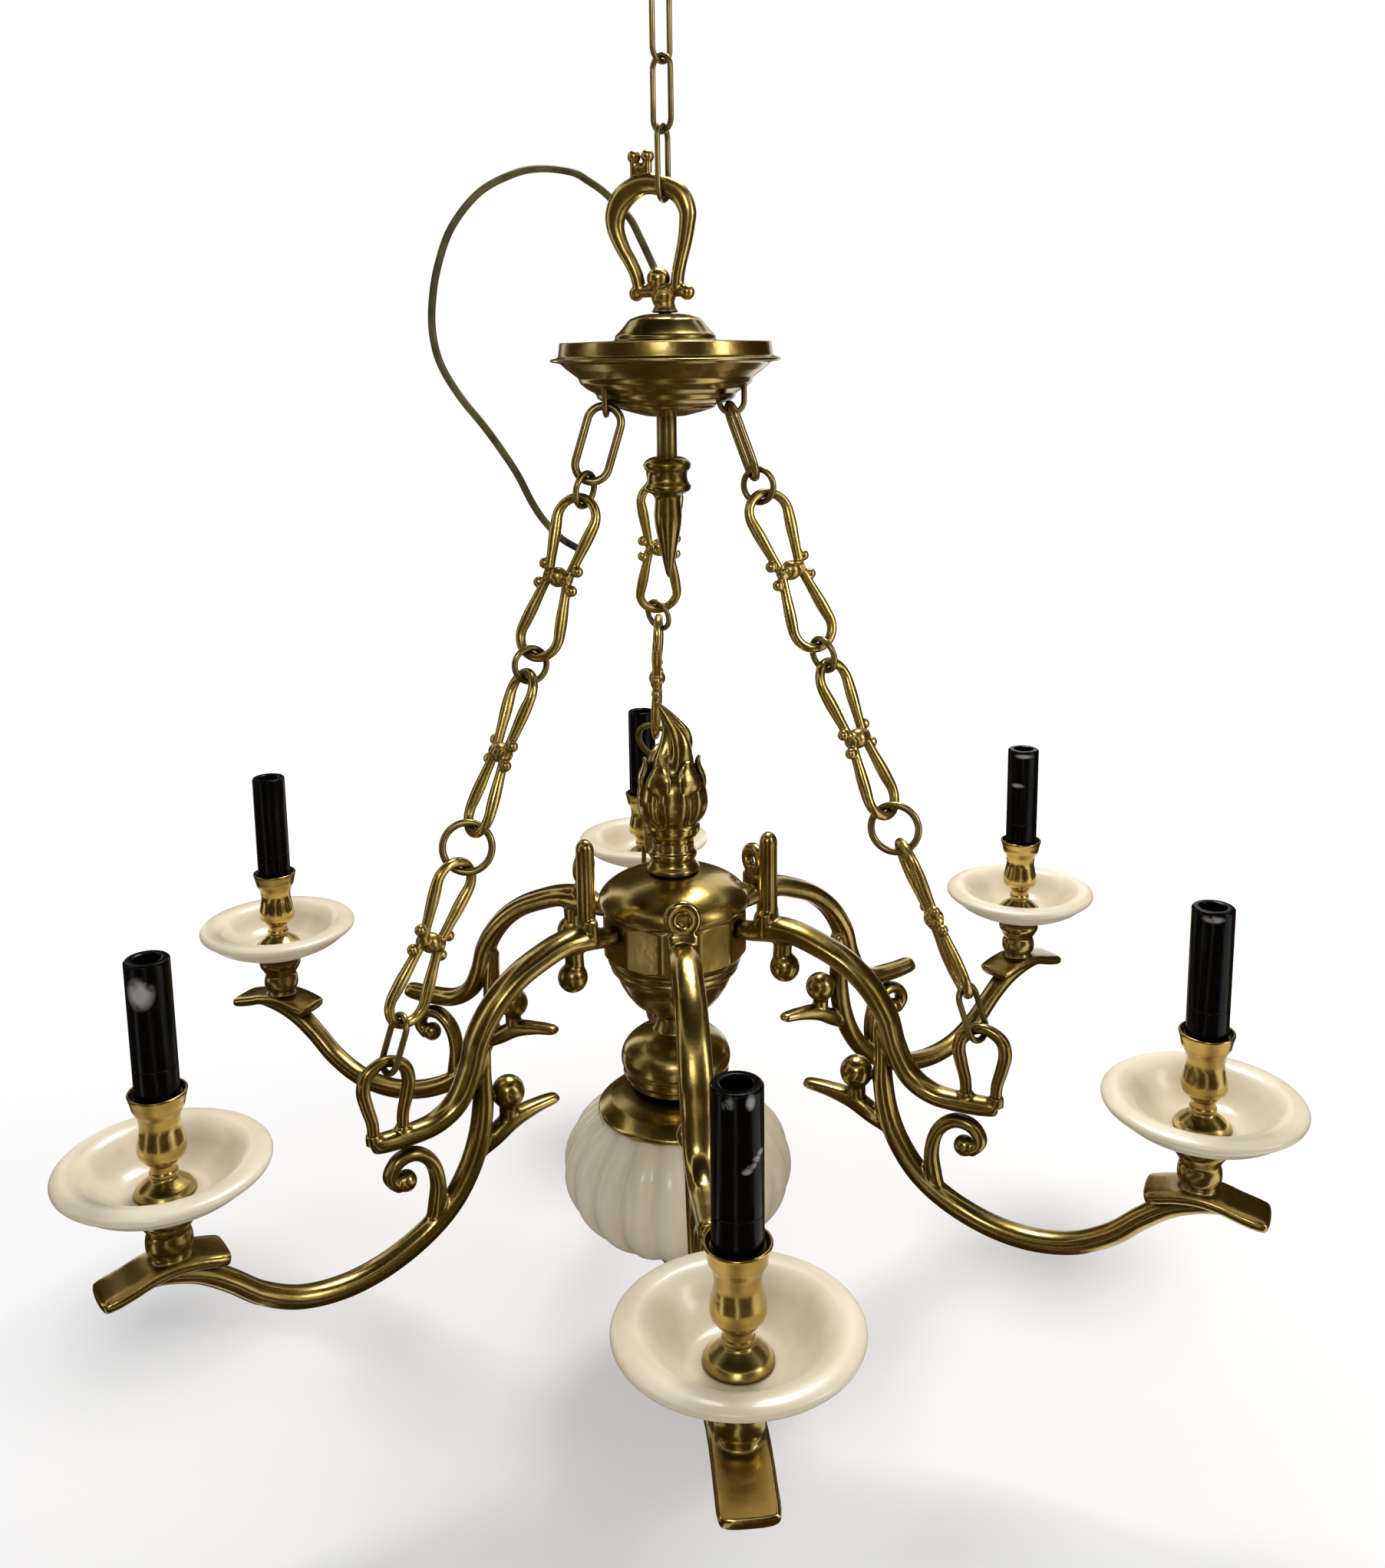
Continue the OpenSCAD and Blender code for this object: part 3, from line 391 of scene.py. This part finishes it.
def melt(shape, size, passes):
    """One casting from shapes that run into each other: their union in cubes of this size, then each point
    drawn halfway to the middle of its neighbours, passes times, which fillets the joints."""
    mesh = bpy.data.meshes.new("melt")
    mesh.from_pydata(shape[0].tolist(), [], shape[1].tolist())
    work = stand("melt", mesh)
    cubes = work.modifiers.new("cubes", "REMESH")
    cubes.mode, cubes.voxel_size = "VOXEL", size
    ease = work.modifiers.new("ease", "SMOOTH")
    ease.factor, ease.iterations = 0.5, passes
    done = work.evaluated_get(bpy.context.evaluated_depsgraph_get()).to_mesh()
    points, faces = np.empty(len(done.vertices) * 3), np.empty(len(done.polygons) * 4, int)
    done.vertices.foreach_get("co", points)
    done.loops.foreach_get("vertex_index", faces)
    bpy.data.objects.remove(work)
    return points.reshape(-1, 3), faces.reshape(-1, 4)


def moved(shape, matrix=np.eye(3), by=(0, 0, 0)):
    """A shape turned by a matrix and then shifted."""
    return shape[0] @ matrix.T + by, shape[1]


limbs = [
    [8, 462, 4, 4.4], [9, 471, 4, 4.4], [11, 480, 4, 4.4], [13.6, 490, 4.3, 4.6], [15.3, 500, 4.8, 4.8],
    [15.6, 509, 5.4, 5], [10.5, 518.5, 6, 4.9], [0, 523.6, 6, 4.6], [-14, 525.1, 6.3, 5],
    [-26, 518.6, 7.2, 5.6], [-31.8, 509, 6.6, 5.4], [-32, 499, 5.4, 5], [-27.6, 488, 4.5, 4.7],
    [-22.5, 479.5, 4.1, 4.6], [-18.5, 471, 4, 4.4], [-16.5, 462, 4, 4.4]
]
shackle = melt(together(
    bar(limbs, square=2.2), ball((-4, 0, 469), 7.2), ball((-1.5, 0, 457.5), 6.8),
    ball((-19, 0, 541.5), 4.1), ball((-10, 0, 541.5), 4.1), ball((-14.5, 0, 533.5), 5, (1.35, 0.6, 0.9)),
    rope([(-19, 0, 524), (-19, 0, 540)], 2.6), rope([(-10, 0, 524), (-10, 0, 540)], 2.6),
    rope([(-17, 0, 462), (13, 0, 462)], 4), ball((-19, 0, 460.5), 4.6), ball((15, 0, 460.5), 4.6),
    rope([(0, 0, 449), (0, 0, 452), (0, 0, 455), (0, 0, 459), (0, 0, 463)], [8.4, 6.6, 5.8, 7.3, 6])),
    0.6, 3)
put("shackle", moved(shackle, turn("Z", 62 - 90)), painted_light_brass, "canopy", "cast_brass", "hanger_lyre")


# CANOPY
# A spun dish and its flat lid with a stepped cap, and below it a plain tube, a turned collar with two
# beads and a drop. All are turned brass, so every edge is a small round and every face a clean curve.

def lathe(profile, edge=0.8, around=96, shape=None, ring=False):
    """Turned piece from its half outline [radius, height]. Each corner is cut back by edge millimetres, or
    by 0.45 of a shorter side, and bridged by a quadratic arc. shape(radius, angle, height) may vary the
    radius round the axis, and ring joins the outline's end to its start."""
    p = np.asarray(profile, float)
    if ring:
        p = np.vstack([p[-1], p, p[0]])
    back, on = p[:-2] - p[1:-1], p[2:] - p[1:-1]
    a = p[1:-1] + back * np.minimum(edge / np.linalg.norm(back, axis=1), 0.45)[:, None]
    c = p[1:-1] + on * np.minimum(edge / np.linalg.norm(on, axis=1), 0.45)[:, None]
    t = np.linspace(0, 1, 5)[None, :, None]
    arcs = (1 - t) ** 2 * a[:, None] + 2 * t * (1 - t) * p[1:-1, None] + t ** 2 * c[:, None]
    arcs = arcs.reshape(-1, 2)
    rows = arcs if ring else np.vstack([p[:1], arcs, p[-1:]])
    r, z = rows[:, :1], rows[:, 1:]
    u = np.linspace(0, 2 * np.pi, around, endpoint=False)[None]
    r = shape(r, u, z) if shape else r + 0 * u
    points = np.stack([r * np.cos(u), r * np.sin(u), z + 0 * r], -1).reshape(-1, 3)
    return points, net(len(rows), around, ring)


put("canopy_cover", lathe([
    [0, 428], [62.4, 428], [62.4, 431], [31, 432], [31, 435], [28.5, 437], [25, 441], [22, 445],
    [14, 447.5], [9, 448], [0, 448]], 2), cast, "canopy", "cast_brass", "canopy_lid")
put("canopy_dish", lathe([
    [0, 386], [12, 386], [22, 388.5], [30, 391], [31, 393], [38, 394.5], [42.5, 397], [43.5, 400],
    [49, 403], [53, 406.5], [54, 409.5], [60, 414], [65, 418.5], [71, 419.5], [71, 421], [66.4, 422.2],
    [66, 423], [65, 431], [62.6, 431], [62.5, 424], [50, 412], [0, 395]]),
    cast, "canopy", "cast_brass", "canopy_bowl")
put("stem_collar", lathe([
    [0, 361], [8, 361], [12.5, 359.5], [15.2, 356.5], [14.6, 353.5], [12.6, 351.5], [12.4, 348],
    [13, 345.5], [15.2, 342.5], [14.2, 339.5], [9.5, 337.5], [8, 335], [8.2, 331], [8.9, 325],
    [8.4, 318], [6.6, 309], [4.6, 300], [3, 292], [1.6, 286], [0, 284.5]], 2.5),
    cast, "canopy", "cast_brass", "stem_drop")


# LYRE CHAINS
# Nine cast lyre links: two pear loops end to end, swelling at their shoulders, tied in the middle by a ball
# on a short bar with four pearls. Each hangs by a small ring and is turned about the chain's line.

# A pear: straight limbs from the waist, tangent to the round bend at its end, in bar 5.8 mm thick that
# swells about the shoulder by a bell curve of 0.75 mm on each side
waist, round_at, round_radius = 6.6, 36.9, 13
spread = np.degrees(np.arcsin(round_radius / np.hypot(waist, round_at)) - np.arctan2(waist, round_at))
bend = np.radians(np.linspace(-spread, 180 + spread, 27))
arc = np.column_stack([round_radius * np.cos(bend), round_at + round_radius * np.sin(bend)])
limb = (waist, 0) + (arc[:1] - (waist, 0)) * np.linspace(0, 0.94, 12)[:, None]
half = np.vstack([limb, arc, limb[::-1] * (-1, 1)])
shoulder = 26
swell = 2.9 + 0.75 * np.exp(-((half[:, 1:] - shoulder) / 11) ** 2)
pear = bar(np.hstack([half, swell, swell]), 3, 28, 2.2)
pearls = [ball((11.6 * x, 0, 6 * z), 3.5) for x in (-1, 1) for z in (-1, 1)]
necks = [rope([(5 * x, 0, 2 * z), (11 * x, 0, 5.6 * z)], 2.3) for x in (-1, 1) for z in (-1, 1)]
lyre = melt(together(
    pear, moved(pear, turn("Y", 180)), ball((0, 0, 0), 6.2), rope([(-8.4, 0, 0), (8.4, 0, 0)], 4.4),
    *pearls, *necks), 0.55, 3)

# Each chain runs from its eye to its foot loop. lengths holds the clear lengths of its oval, rings and
# lyres from the top, and their wires lie clear of one another by gap. For each chain: its way, how far it
# bows in the middle, and how far each of its lyres is turned about the chain's line, by place in lengths
eye_reach, eye_height = 44, 388
foot_reach, foot_height = 206, 19
run = np.hypot(foot_reach - eye_reach, eye_height - foot_height)
lean = np.degrees(np.arctan2(foot_reach - eye_reach, eye_height - foot_height))
lengths = [41.8, 16.5, 94, 16.5, 94, 24.8, 94]
gap = 0.25
so_far = np.cumsum([0] + lengths) - gap * np.arange(8)
chains = {
    "left": (210, 7, {2: -60, 4: 87, 6: 13}), "right": (330, 4.5, {2: 48, 4: 74, 6: -58}),
    "back": (90, 5, {2: 96, 4: -8, 6: -25})
}
for name, (way, bow, turns) in chains.items():
    # Each link leans with the slope of a parabola at its middle, and hangs in the one before. The inner top
    # of the first is 2.8 mm above the middle of its eye's wire
    tilts = lean - np.degrees(np.arctan(4 * bow / run * (1 - (so_far[:-1] + so_far[1:]) / run)))
    down = np.column_stack([np.sin(np.radians(tilts)), 0 * tilts, -np.cos(np.radians(tilts))])
    steps = down[:-1] * (np.array(lengths[:-1]) - gap)[:, None]
    hang = np.vstack([-2.8 * down[0], steps]).cumsum(axis=0)
    links = []
    for k, aside in turns.items():
        link = moved(lyre, by=(0, 0, -lengths[k] / 2))
        link = moved(link, turn("Y", -tilts[k]) @ turn("Z", aside), hang[k])
        links.append(moved(moved(link, by=(eye_reach, 0, eye_height)), turn("Z", way)))
    put(name + "_lyres", together(*links), painted_light_brass, name + "_chain", "cast_brass", name + "_lyre_links")


# FLAME AND COLUMN
# Hollow castings threaded on one rod: a flame with a curled tip, its leafy cup, a ringed neck, the hub's
# dome, a twelve-sided drum that the arms are screwed to, its bowl, a vase, a cap and a bottom knob.

def flame_skin(around=96):
    """Flame: circles whose middle follows a leaning curve, with three rounded lobes that wind a quarter of
    the way round as they climb, parted by creases of up to 0.4 of the radius."""
    q = curve([[0, 160, 14.5], [1.5, 168, 14], [3.5, 176, 11.8], [3, 185, 9], [-1, 193, 6], [-5.5, 200, 3],
               [-8.5, 203.5, 1], [-9.2, 204.2, 0.01]], 10)
    u = np.linspace(0, 2 * np.pi, around, endpoint=False)[None]
    foot, tall = 160, 44
    climb = (q[:, 1:2] - foot) / tall
    r = q[:, 2:3] * (1 - 0.4 * np.abs(np.sin(1.5 * u + 1.1 + 2.2 * climb)) ** 6 * np.clip(4 * climb, 0, 1))
    points = np.stack([q[:, :1] + r * np.cos(u), r * np.sin(u), q[:, 1:2] + 0 * r], -1).reshape(-1, 3)
    return points, net(len(q), around)


leaf = bar([
    [19, 144, 1.2, 5], [20, 150, 2.4, 8.4], [19, 156, 2.8, 8.6], [17.2, 161, 2.4, 6.6], [17, 165, 1.7, 3.6],
    [18.2, 168, 0.8, 1.5]], 8, 24, 2)
put("flame", together(flame_skin(), *[moved(leaf, turn("Z", 60 * k)) for k in range(6)]),
    cast, "fixture", "cast_brass", "flame_finial")


def leafy(r, u, z):
    """Radius with six upright leaf folds, 0.03 fuller, parted by creases 0.11 deep, both fading within 6 mm
    of the bulb's foot and mouth."""
    fade = np.clip((z - 123) / 6, 0, 1) * np.clip((162 - z) / 6, 0, 1)
    return r * (1 + fade * (0.03 - 0.14 * np.abs(np.cos(3 * u)) ** 8))


belly = np.radians(np.linspace(-40, 62, 25))
put("flame_bulb", lathe(
    [[0, 112], [13.8, 112], [13.8, 115.4], [16.4, 116], [18, 119], [18, 122.5], [17.4, 124]]
    + list(zip(23 * np.cos(belly) + np.where(belly > 0, 5 * np.sin(belly) ** 2, 0),
               139 + 22 * np.sin(belly)))
    + [[14, 160], [0, 160]], 0.7, 180, leafy),
    cast, "fixture", "cast_brass", "flame_cup")
put("neck", lathe([
    [0, 91.5], [17.2, 91.5], [17.4, 94], [15, 97], [14.2, 99.5], [15.8, 102], [15.8, 104.5], [14, 106.2],
    [13.8, 112], [0, 112]], 0.9), cast, "fixture", "cast_brass", "neck_rings")
arch_top = np.radians(np.linspace(0, 78, 22))
put("dome", lathe(
    [[0, 70]] + list(zip(50 * np.cos(arch_top), 70 + 22 * np.sin(arch_top))) + [[7, 91.5], [0, 91.5]]),
    cast, "fixture", "cast_brass", "hub_dome")


def twelve_sided(r, u, z):
    """Radius held to twelve flats: their distance from the axis, divided by the cosine of the angle from
    the middle of the nearest."""
    flat = 46.4
    return np.minimum(r, flat / np.cos((u + np.pi / 12) % (np.pi / 6) - np.pi / 12))


put("drum", lathe([
    [0, 33], [44.5, 33], [45.6, 36], [47.8, 38.5], [47.8, 64.5], [46, 66.5], [48.6, 68], [48.6, 70],
    [0, 70]], 0.8, 240, twelve_sided), cast, "fixture", "cast_brass", "hub_drum")
put("hub_underside", lathe([
    [0, -8], [13, -8], [14.2, -6], [20, -3.5], [27, 1.5], [32, 8], [36, 15], [38.5, 21], [39, 24],
    [41.8, 24.6], [42.6, 27], [41.4, 28.6], [43.6, 29.6], [44.5, 33], [0, 33]], 1.2),
    cast, "fixture", "cast_brass", "hub_bowl")
belly = np.radians(np.linspace(-8, 66, 15))
put("vase_body", lathe(
    [[0, -60], [25, -60], [29, -57], [31.5, -55], [31, -52], [34, -50.5], [35.5, -48], [35, -45]]
    + list(zip(36.6 * np.cos(belly), -38.5 + 22 * np.sin(belly)))
    + [[13.5, -14], [12.5, -10], [13, -8], [0, -8]], 0.9),
    cast, "fixture", "cast_brass", "vase")
put("cap", lathe([
    [0, -75], [52.4, -75], [52.6, -73], [50, -70.5], [44, -65.5], [36, -61.8], [30, -60], [0, -60]], 1.5),
    cast, "fixture", "cast_brass", "ball_cap")
put("bottom_knob", lathe([
    [0, -205], [5, -204], [9, -201], [11, -196.5], [10, -192], [7.5, -189.5], [12, -187], [15.5, -184.5],
    [16.5, -181], [15, -177.5], [13, -172.5], [0, -172.5]], 1.5),
    cast, "fixture", "cast_brass", "bottom_finial")


# CERAMIC BALL
# Slip-cast melon ball in twenty lobes, under a cream satin glaze, with painted shade that darkens its
# creases a little.

def glaze(name, light, shade, painted_shade_colour, gloss):
    """Glazed earthenware: a cream glaze with faint cloudy patches about 40 mm across, painted shade in a
    warmer colour in the hollows and between parts, which in the pans is also a painted reflection of the
    brass cup, and a thin clear coat."""
    material, tree, skin, place = finish(name)
    cloud = add(tree, "ShaderNodeTexNoise", {"Vector": place, "Scale": 22, "Detail": 3})
    tone = patches(tree, cloud, 0.3, shade, 0.6, light)
    # Painted shade, and in the pans a painted reflection of the brass cup: the straw colour goes where
    # little light reaches
    painted_shade = hollows(tree, 0.02, 0.3, 1.0, 0.75)
    colour = add(tree, "ShaderNodeMix", {0: painted_shade, 6: tone, 7: linear(painted_shade_colour)}, data_type="RGBA")
    tree.links.new(colour.outputs[2], skin.inputs["Base Color"])
    orange_peel = add(tree, "ShaderNodeTexNoise", {"Vector": place, "Scale": 220, "Detail": 2})
    relief = add(tree, "ShaderNodeBump", {"Height": orange_peel.outputs["Fac"], "Strength": 0.12,
                                          "Distance": 0.0004})
    tree.links.new(relief.outputs[0], skin.inputs["Normal"])
    skin.inputs["Roughness"].default_value = gloss
    skin.inputs["Coat Weight"].default_value = 0.35
    skin.inputs["Coat Roughness"].default_value = 0.12
    return material


# Warm cream that shines softly, with painted shade the colour of straw in the creases of the ball and in
# the pans round the cups
cream = glaze("cream_glazed_earthenware", "#F2E5CA", "#E6D6B6", "#AE8C56", 0.34)

ball_centre, ball_half = -116.5, 56


def lobed(r, u, z):
    """Radius with twenty lobes: a crease where |cos| of ten times the angle is 1, fading at the poles."""
    tall = np.clip(1 - ((z - ball_centre) / ball_half) ** 2, 0, 1) ** 0.5
    return r * (1 - 0.045 * np.abs(np.cos(10 * u)) ** 3 * tall ** 0.3)


half_round = np.radians(np.linspace(-86.3, 86.3, 61))
put("melon_ball", lathe(
    list(zip(77 * np.cos(half_round), ball_centre + ball_half * np.sin(half_round))),
    0.4, 320, lobed, True),
    cream, "fixture", "ceramic", "ceramic_ball")


# ARMS
# Six castings of one pattern. The arch leaves the drum, swings over and ends in a foot; the sweep starts
# beside it, runs under and rises to a saddle plate that carries the candle. A curl, a spur and balls spring
# from it. Every second arm has a tall post and carries the foot loop of a chain, the others have a ring.

arch = bar([
    [46.5, 57.6, 6, 7], [56, 57.8, 6.2, 8], [69, 61, 8, 10], [84, 61, 7.2, 10], [100, 56, 7, 10],
    [118, 47.5, 6.8, 10], [134, 34, 6.6, 10], [146, 16, 6.4, 10], [152, -3, 6.2, 9.6],
    [161, -20, 6.2, 9], [176, -29.5, 6, 8], [196, -31.5, 6, 7], [211, -31, 5.6, 6.4],
    [216, -30.5, 4.6, 5.4]], square=2.2)
sweep = bar([
    [141, 10, 3, 5], [143.5, -8, 5, 6.5], [144, -28, 6.2, 7.2], [147.5, -48, 6.4, 7.4],
    [155, -67, 6.6, 7.4], [168, -85, 6.6, 7.4], [187, -99, 6.6, 7.4], [212, -109, 6.6, 7.4],
    [238, -112.5, 6.5, 7.4], [264, -108.5, 6.4, 7.2], [286, -97, 6.3, 7.2], [303, -82, 6.2, 7.2],
    [318, -70.5, 6.2, 8], [332, -64.5, 5.6, 8.6], [344, -62.5, 4.4, 8.6], [354, -63.2, 2.6, 7.6]],
    square=2.2, nose=1)
curl = bar([
    [184, -97, 2, 3], [178, -84, 4.6, 5.6], [176, -68, 4.4, 5.6], [180, -53, 4.2, 5.4],
    [190, -44.6, 4, 5.2], [201, -46, 4, 5.2], [206.5, -55, 4, 5.2], [201, -62.5, 3.4, 5]], nose=2)
spur = bar([
    [150, -62, 2, 3], [138, -52, 5.5, 6], [124, -44, 5.5, 6.4], [108, -40.6, 4, 5.6],
    [96, -39.6, 3.2, 4.8], [92.5, -39.6, 2.3, 3.8]], nose=1.5)
saddle = bar([
    [306.5, -62, 3.6, 13.4], [312, -60.6, 3.8, 14.1], [322, -58.2, 3.8, 14.1], [334, -57, 3.8, 14.1],
    [346, -58.4, 3.8, 14.1], [357, -61.6, 3.8, 14.1], [366, -63.8, 3.8, 14.1], [371, -64.8, 3.4, 13.4]],
    square=4, nose=2.6)
common = together(
    arch, sweep, curl, spur, saddle, ball((126.5, 0, -25), 10.4), rope([(127, 0, -46), (127, 0, -32)], 5.5),
    ball((196.5, 0, -60), 6.6), ball((78, 0, 37), 9.6), rope([(76, 0, 40), (77, 0, 57)], 6),
    bar([[67, 58, 4.5, 10], [67, 73, 4.5, 10]], square=3.5, nose=1),
    rope([(334, 0, -60), (334, 0, -50.5)], 10))
u = np.linspace(0, 2 * np.pi, 33)
lug = bar(np.column_stack([7.6 * np.cos(u), 7.6 * np.sin(u), 0 * u + 4.2, 0 * u + 3.6]), 2, 24, 2.6)
lug = moved(lug, turn("Z", 90), (67, 0, 83.5))
post = together(
    bar([[67, 68, 5.6, 6.6], [67, 119, 5.6, 6.6]], around=48, square=2, nose=6.6),
    rope([(197, 0, -30), (197, 0, -23.6)], 4.6), rope([(215.5, 0, -30), (215.5, 0, -23.6)], 4.6))
cube = 1.0
plain_arm = melt(together(common, lug), cube, 4)
chain_arm = melt(together(common, post), cube, 4)
arm_angles = [270, 330, 30, 90, 150, 210]
for i, way in enumerate(arm_angles):
    arm = chain_arm if i % 2 else plain_arm
    put("scroll_arm_%d" % (i + 1), moved(arm, turn("Z", way)), cast, "fixture", "cast_brass",
        "arm_%d" % (i + 1))

# The foot loop stands across its arm, a narrow lyre that the lowest link of a chain pulls up
loop_half = [
    [9.3, -23.45, 3.5, 3.5], [9.8, -16, 3.6, 3.5], [12.6, -5, 3.9, 3.8], [14.2, 5, 4.1, 4],
    [11, 14, 3.8, 3.7]
]
loop = bar([[-x, z, a, b] for x, z, a, b in loop_half] + [[0, 19, 3.3, 3.3]] + loop_half[::-1], 10, 32, 2.2)
feet = [moved(moved(loop, by=(foot_reach, 0, 0)), turn("Z", way)) for way in (210, 330, 90)]
put("foot_loops", together(*feet), cast, "fixture", "cast_brass", "arm_loops")


# CANDLES
# On each saddle a turned collar, a thick glazed drip pan with a rolled rim, a turned cup, and the black
# moulded tube that holds the lamp, all clamped by one nipple.

arm_reach = 334


def around_column(shape, way):
    """A shape on its own axis, set on the arm that points this way."""
    return moved(moved(shape, by=(arm_reach, 0, 0)), turn("Z", way))


def at_candles(shape, name, material, slot, node):
    """One piece of this shape on each of the six arms."""
    for i, way in enumerate(arm_angles):
        put("%s_%d" % (name, i + 1), around_column(shape, way), material, "fixture", slot,
            "%s_%d" % (node, i + 1))


collar = lathe([
    [0, -50], [11.5, -50], [12.6, -47], [12.4, -42], [11, -38], [13.5, -34], [15.2, -31], [15.2, -28],
    [12, -25], [11, -21.05], [0, -21.05]], 1.6, 64)
put("collars", together(*[around_column(collar, way) for way in arm_angles]), cast, "fixture",
    "cast_brass", "pan_collars")
at_candles(lathe([
    [12, -21], [24, -20], [36, -15.5], [46, -10.5], [53, -4.5], [56.4, -2.2], [57, 0], [55.5, 2], [51, 3.2],
    [46, 3.2], [41.5, 1.2], [37.5, -3], [34, -8], [29.5, -12.5], [24, -15.6], [18.5, -16.5], [5.4, -16.5],
    [5.4, -21]], 3, 128, None, True), "pan", cream, "ceramic", "drip_pan")
cup_foot = -16.45
cup_outline = [
    [0, 0], [16.2, 0], [16.4, 1.5], [14.2, 4.5], [10.5, 7], [7.6, 9], [6.8, 10.2], [7.7, 11.2], [7.7, 12.6],
    [6.8, 14], [7, 17.5], [9.6, 19.5], [12.2, 22.5], [13, 25.8], [12.7, 29.5], [11.6, 34], [10.8, 38],
    [10.7, 41], [11.3, 45.5], [13.7, 49.8], [14.5, 54], [15.8, 58.5], [14.4, 59], [13, 56], [0, 56]
]
at_candles(lathe([[r, cup_foot + z] for r, z in cup_outline], 1.1, 72), "cup", cast, "cast_brass",
           "candle_cup")

# Phenolic resin, pressed: a hard black gloss with a faint haze. Grey places, each an ellipsoid with its
# middle and half axes: two painted reflections under the front tube's mouth and a rubbed slanting scratch
# of four below them, a pale patch on the left front tube, a band on the right front tube, and two painted
# highlights as bands on the back right one, on the side that faces the camera
resin, tree, skin, place = finish("black_phenolic_resin")
haze = add(tree, "ShaderNodeTexNoise", {"Vector": place, "Scale": 90, "Detail": 4})
wear_and_sheen = 0.0
# Real rubs and scratches, with painted reflections and painted highlights among them
for middle, half_axes in (
        ((-5, -344.5, 112), (3, 4, 5)), ((4.6, -344.5, 112.5), (2.6, 4, 4)),
        ((3, -345.3, 81.5), (3, 3, 1.9)), ((5.2, -344.6, 83.5), (3, 3, 1.9)),
        ((7.4, -343.4, 85.8), (3, 3, 1.9)), ((9.5, -341.5, 88), (3, 3, 1.9)),
        ((-291, -178.7, 101.5), (8.5, 8, 10)), ((284.2, -177.6, 113), (7, 6, 2.4)),
        ((285.6, 155.8, 113), (9, 6, 2)), ((281.9, 157.8, 89.3), (7, 5, 2))):
    away = add(tree, "ShaderNodeVectorMath", {
        0: place, 1: np.array(middle) / 1000 + (0, 0, rims)}, operation="SUBTRACT")
    away = add(tree, "ShaderNodeVectorMath", {0: away.outputs[0], 1: 1000 / np.array(half_axes)},
               operation="MULTIPLY")
    away = add(tree, "ShaderNodeVectorMath", {0: away.outputs[0]}, operation="LENGTH")
    inside = add(tree, "ShaderNodeMapRange", {
        "Value": away.outputs["Value"], "From Min": 1.0, "From Max": 0.4})
    wear_and_sheen = add(tree, "ShaderNodeMath", {0: inside.outputs[0], 1: wear_and_sheen}, operation="MAXIMUM").outputs[0]
streaks = add(tree, "ShaderNodeMapRange", {"Value": haze.outputs["Fac"], "From Min": 0.36, "From Max": 0.5})
wear_and_sheen = add(tree, "ShaderNodeMath", {0: wear_and_sheen, 1: streaks.outputs[0]}, operation="MULTIPLY")
colour = add(tree, "ShaderNodeMix", {0: wear_and_sheen.outputs[0], 6: linear("#070605"), 7: linear("#A3A098")},
             data_type="RGBA")
tree.links.new(colour.outputs[2], skin.inputs["Base Color"])
rough = add(tree, "ShaderNodeMapRange", {
    "Value": haze.outputs["Fac"], "From Min": 0.3, "From Max": 0.7, "To Min": 0.12, "To Max": 0.3})
rough = add(tree, "ShaderNodeMath", {0: wear_and_sheen.outputs[0], 1: 0.35, 2: rough.outputs[0]},
            operation="MULTIPLY_ADD")
tree.links.new(rough.outputs[0], skin.inputs["Roughness"])
skin.inputs["Specular IOR Level"].default_value = 0.14
at_candles(lathe([
    [0, 34.1], [11.8, 34.1], [11.8, 57], [11.6, 57.3], [11.8, 57.6], [11.8, 115.5], [10.8, 116.5],
    [8, 116.5], [7.1, 116], [7, 96.5], [0, 96.5]], 0.3, 72), "tube", resin, "bakelite", "lampholder")
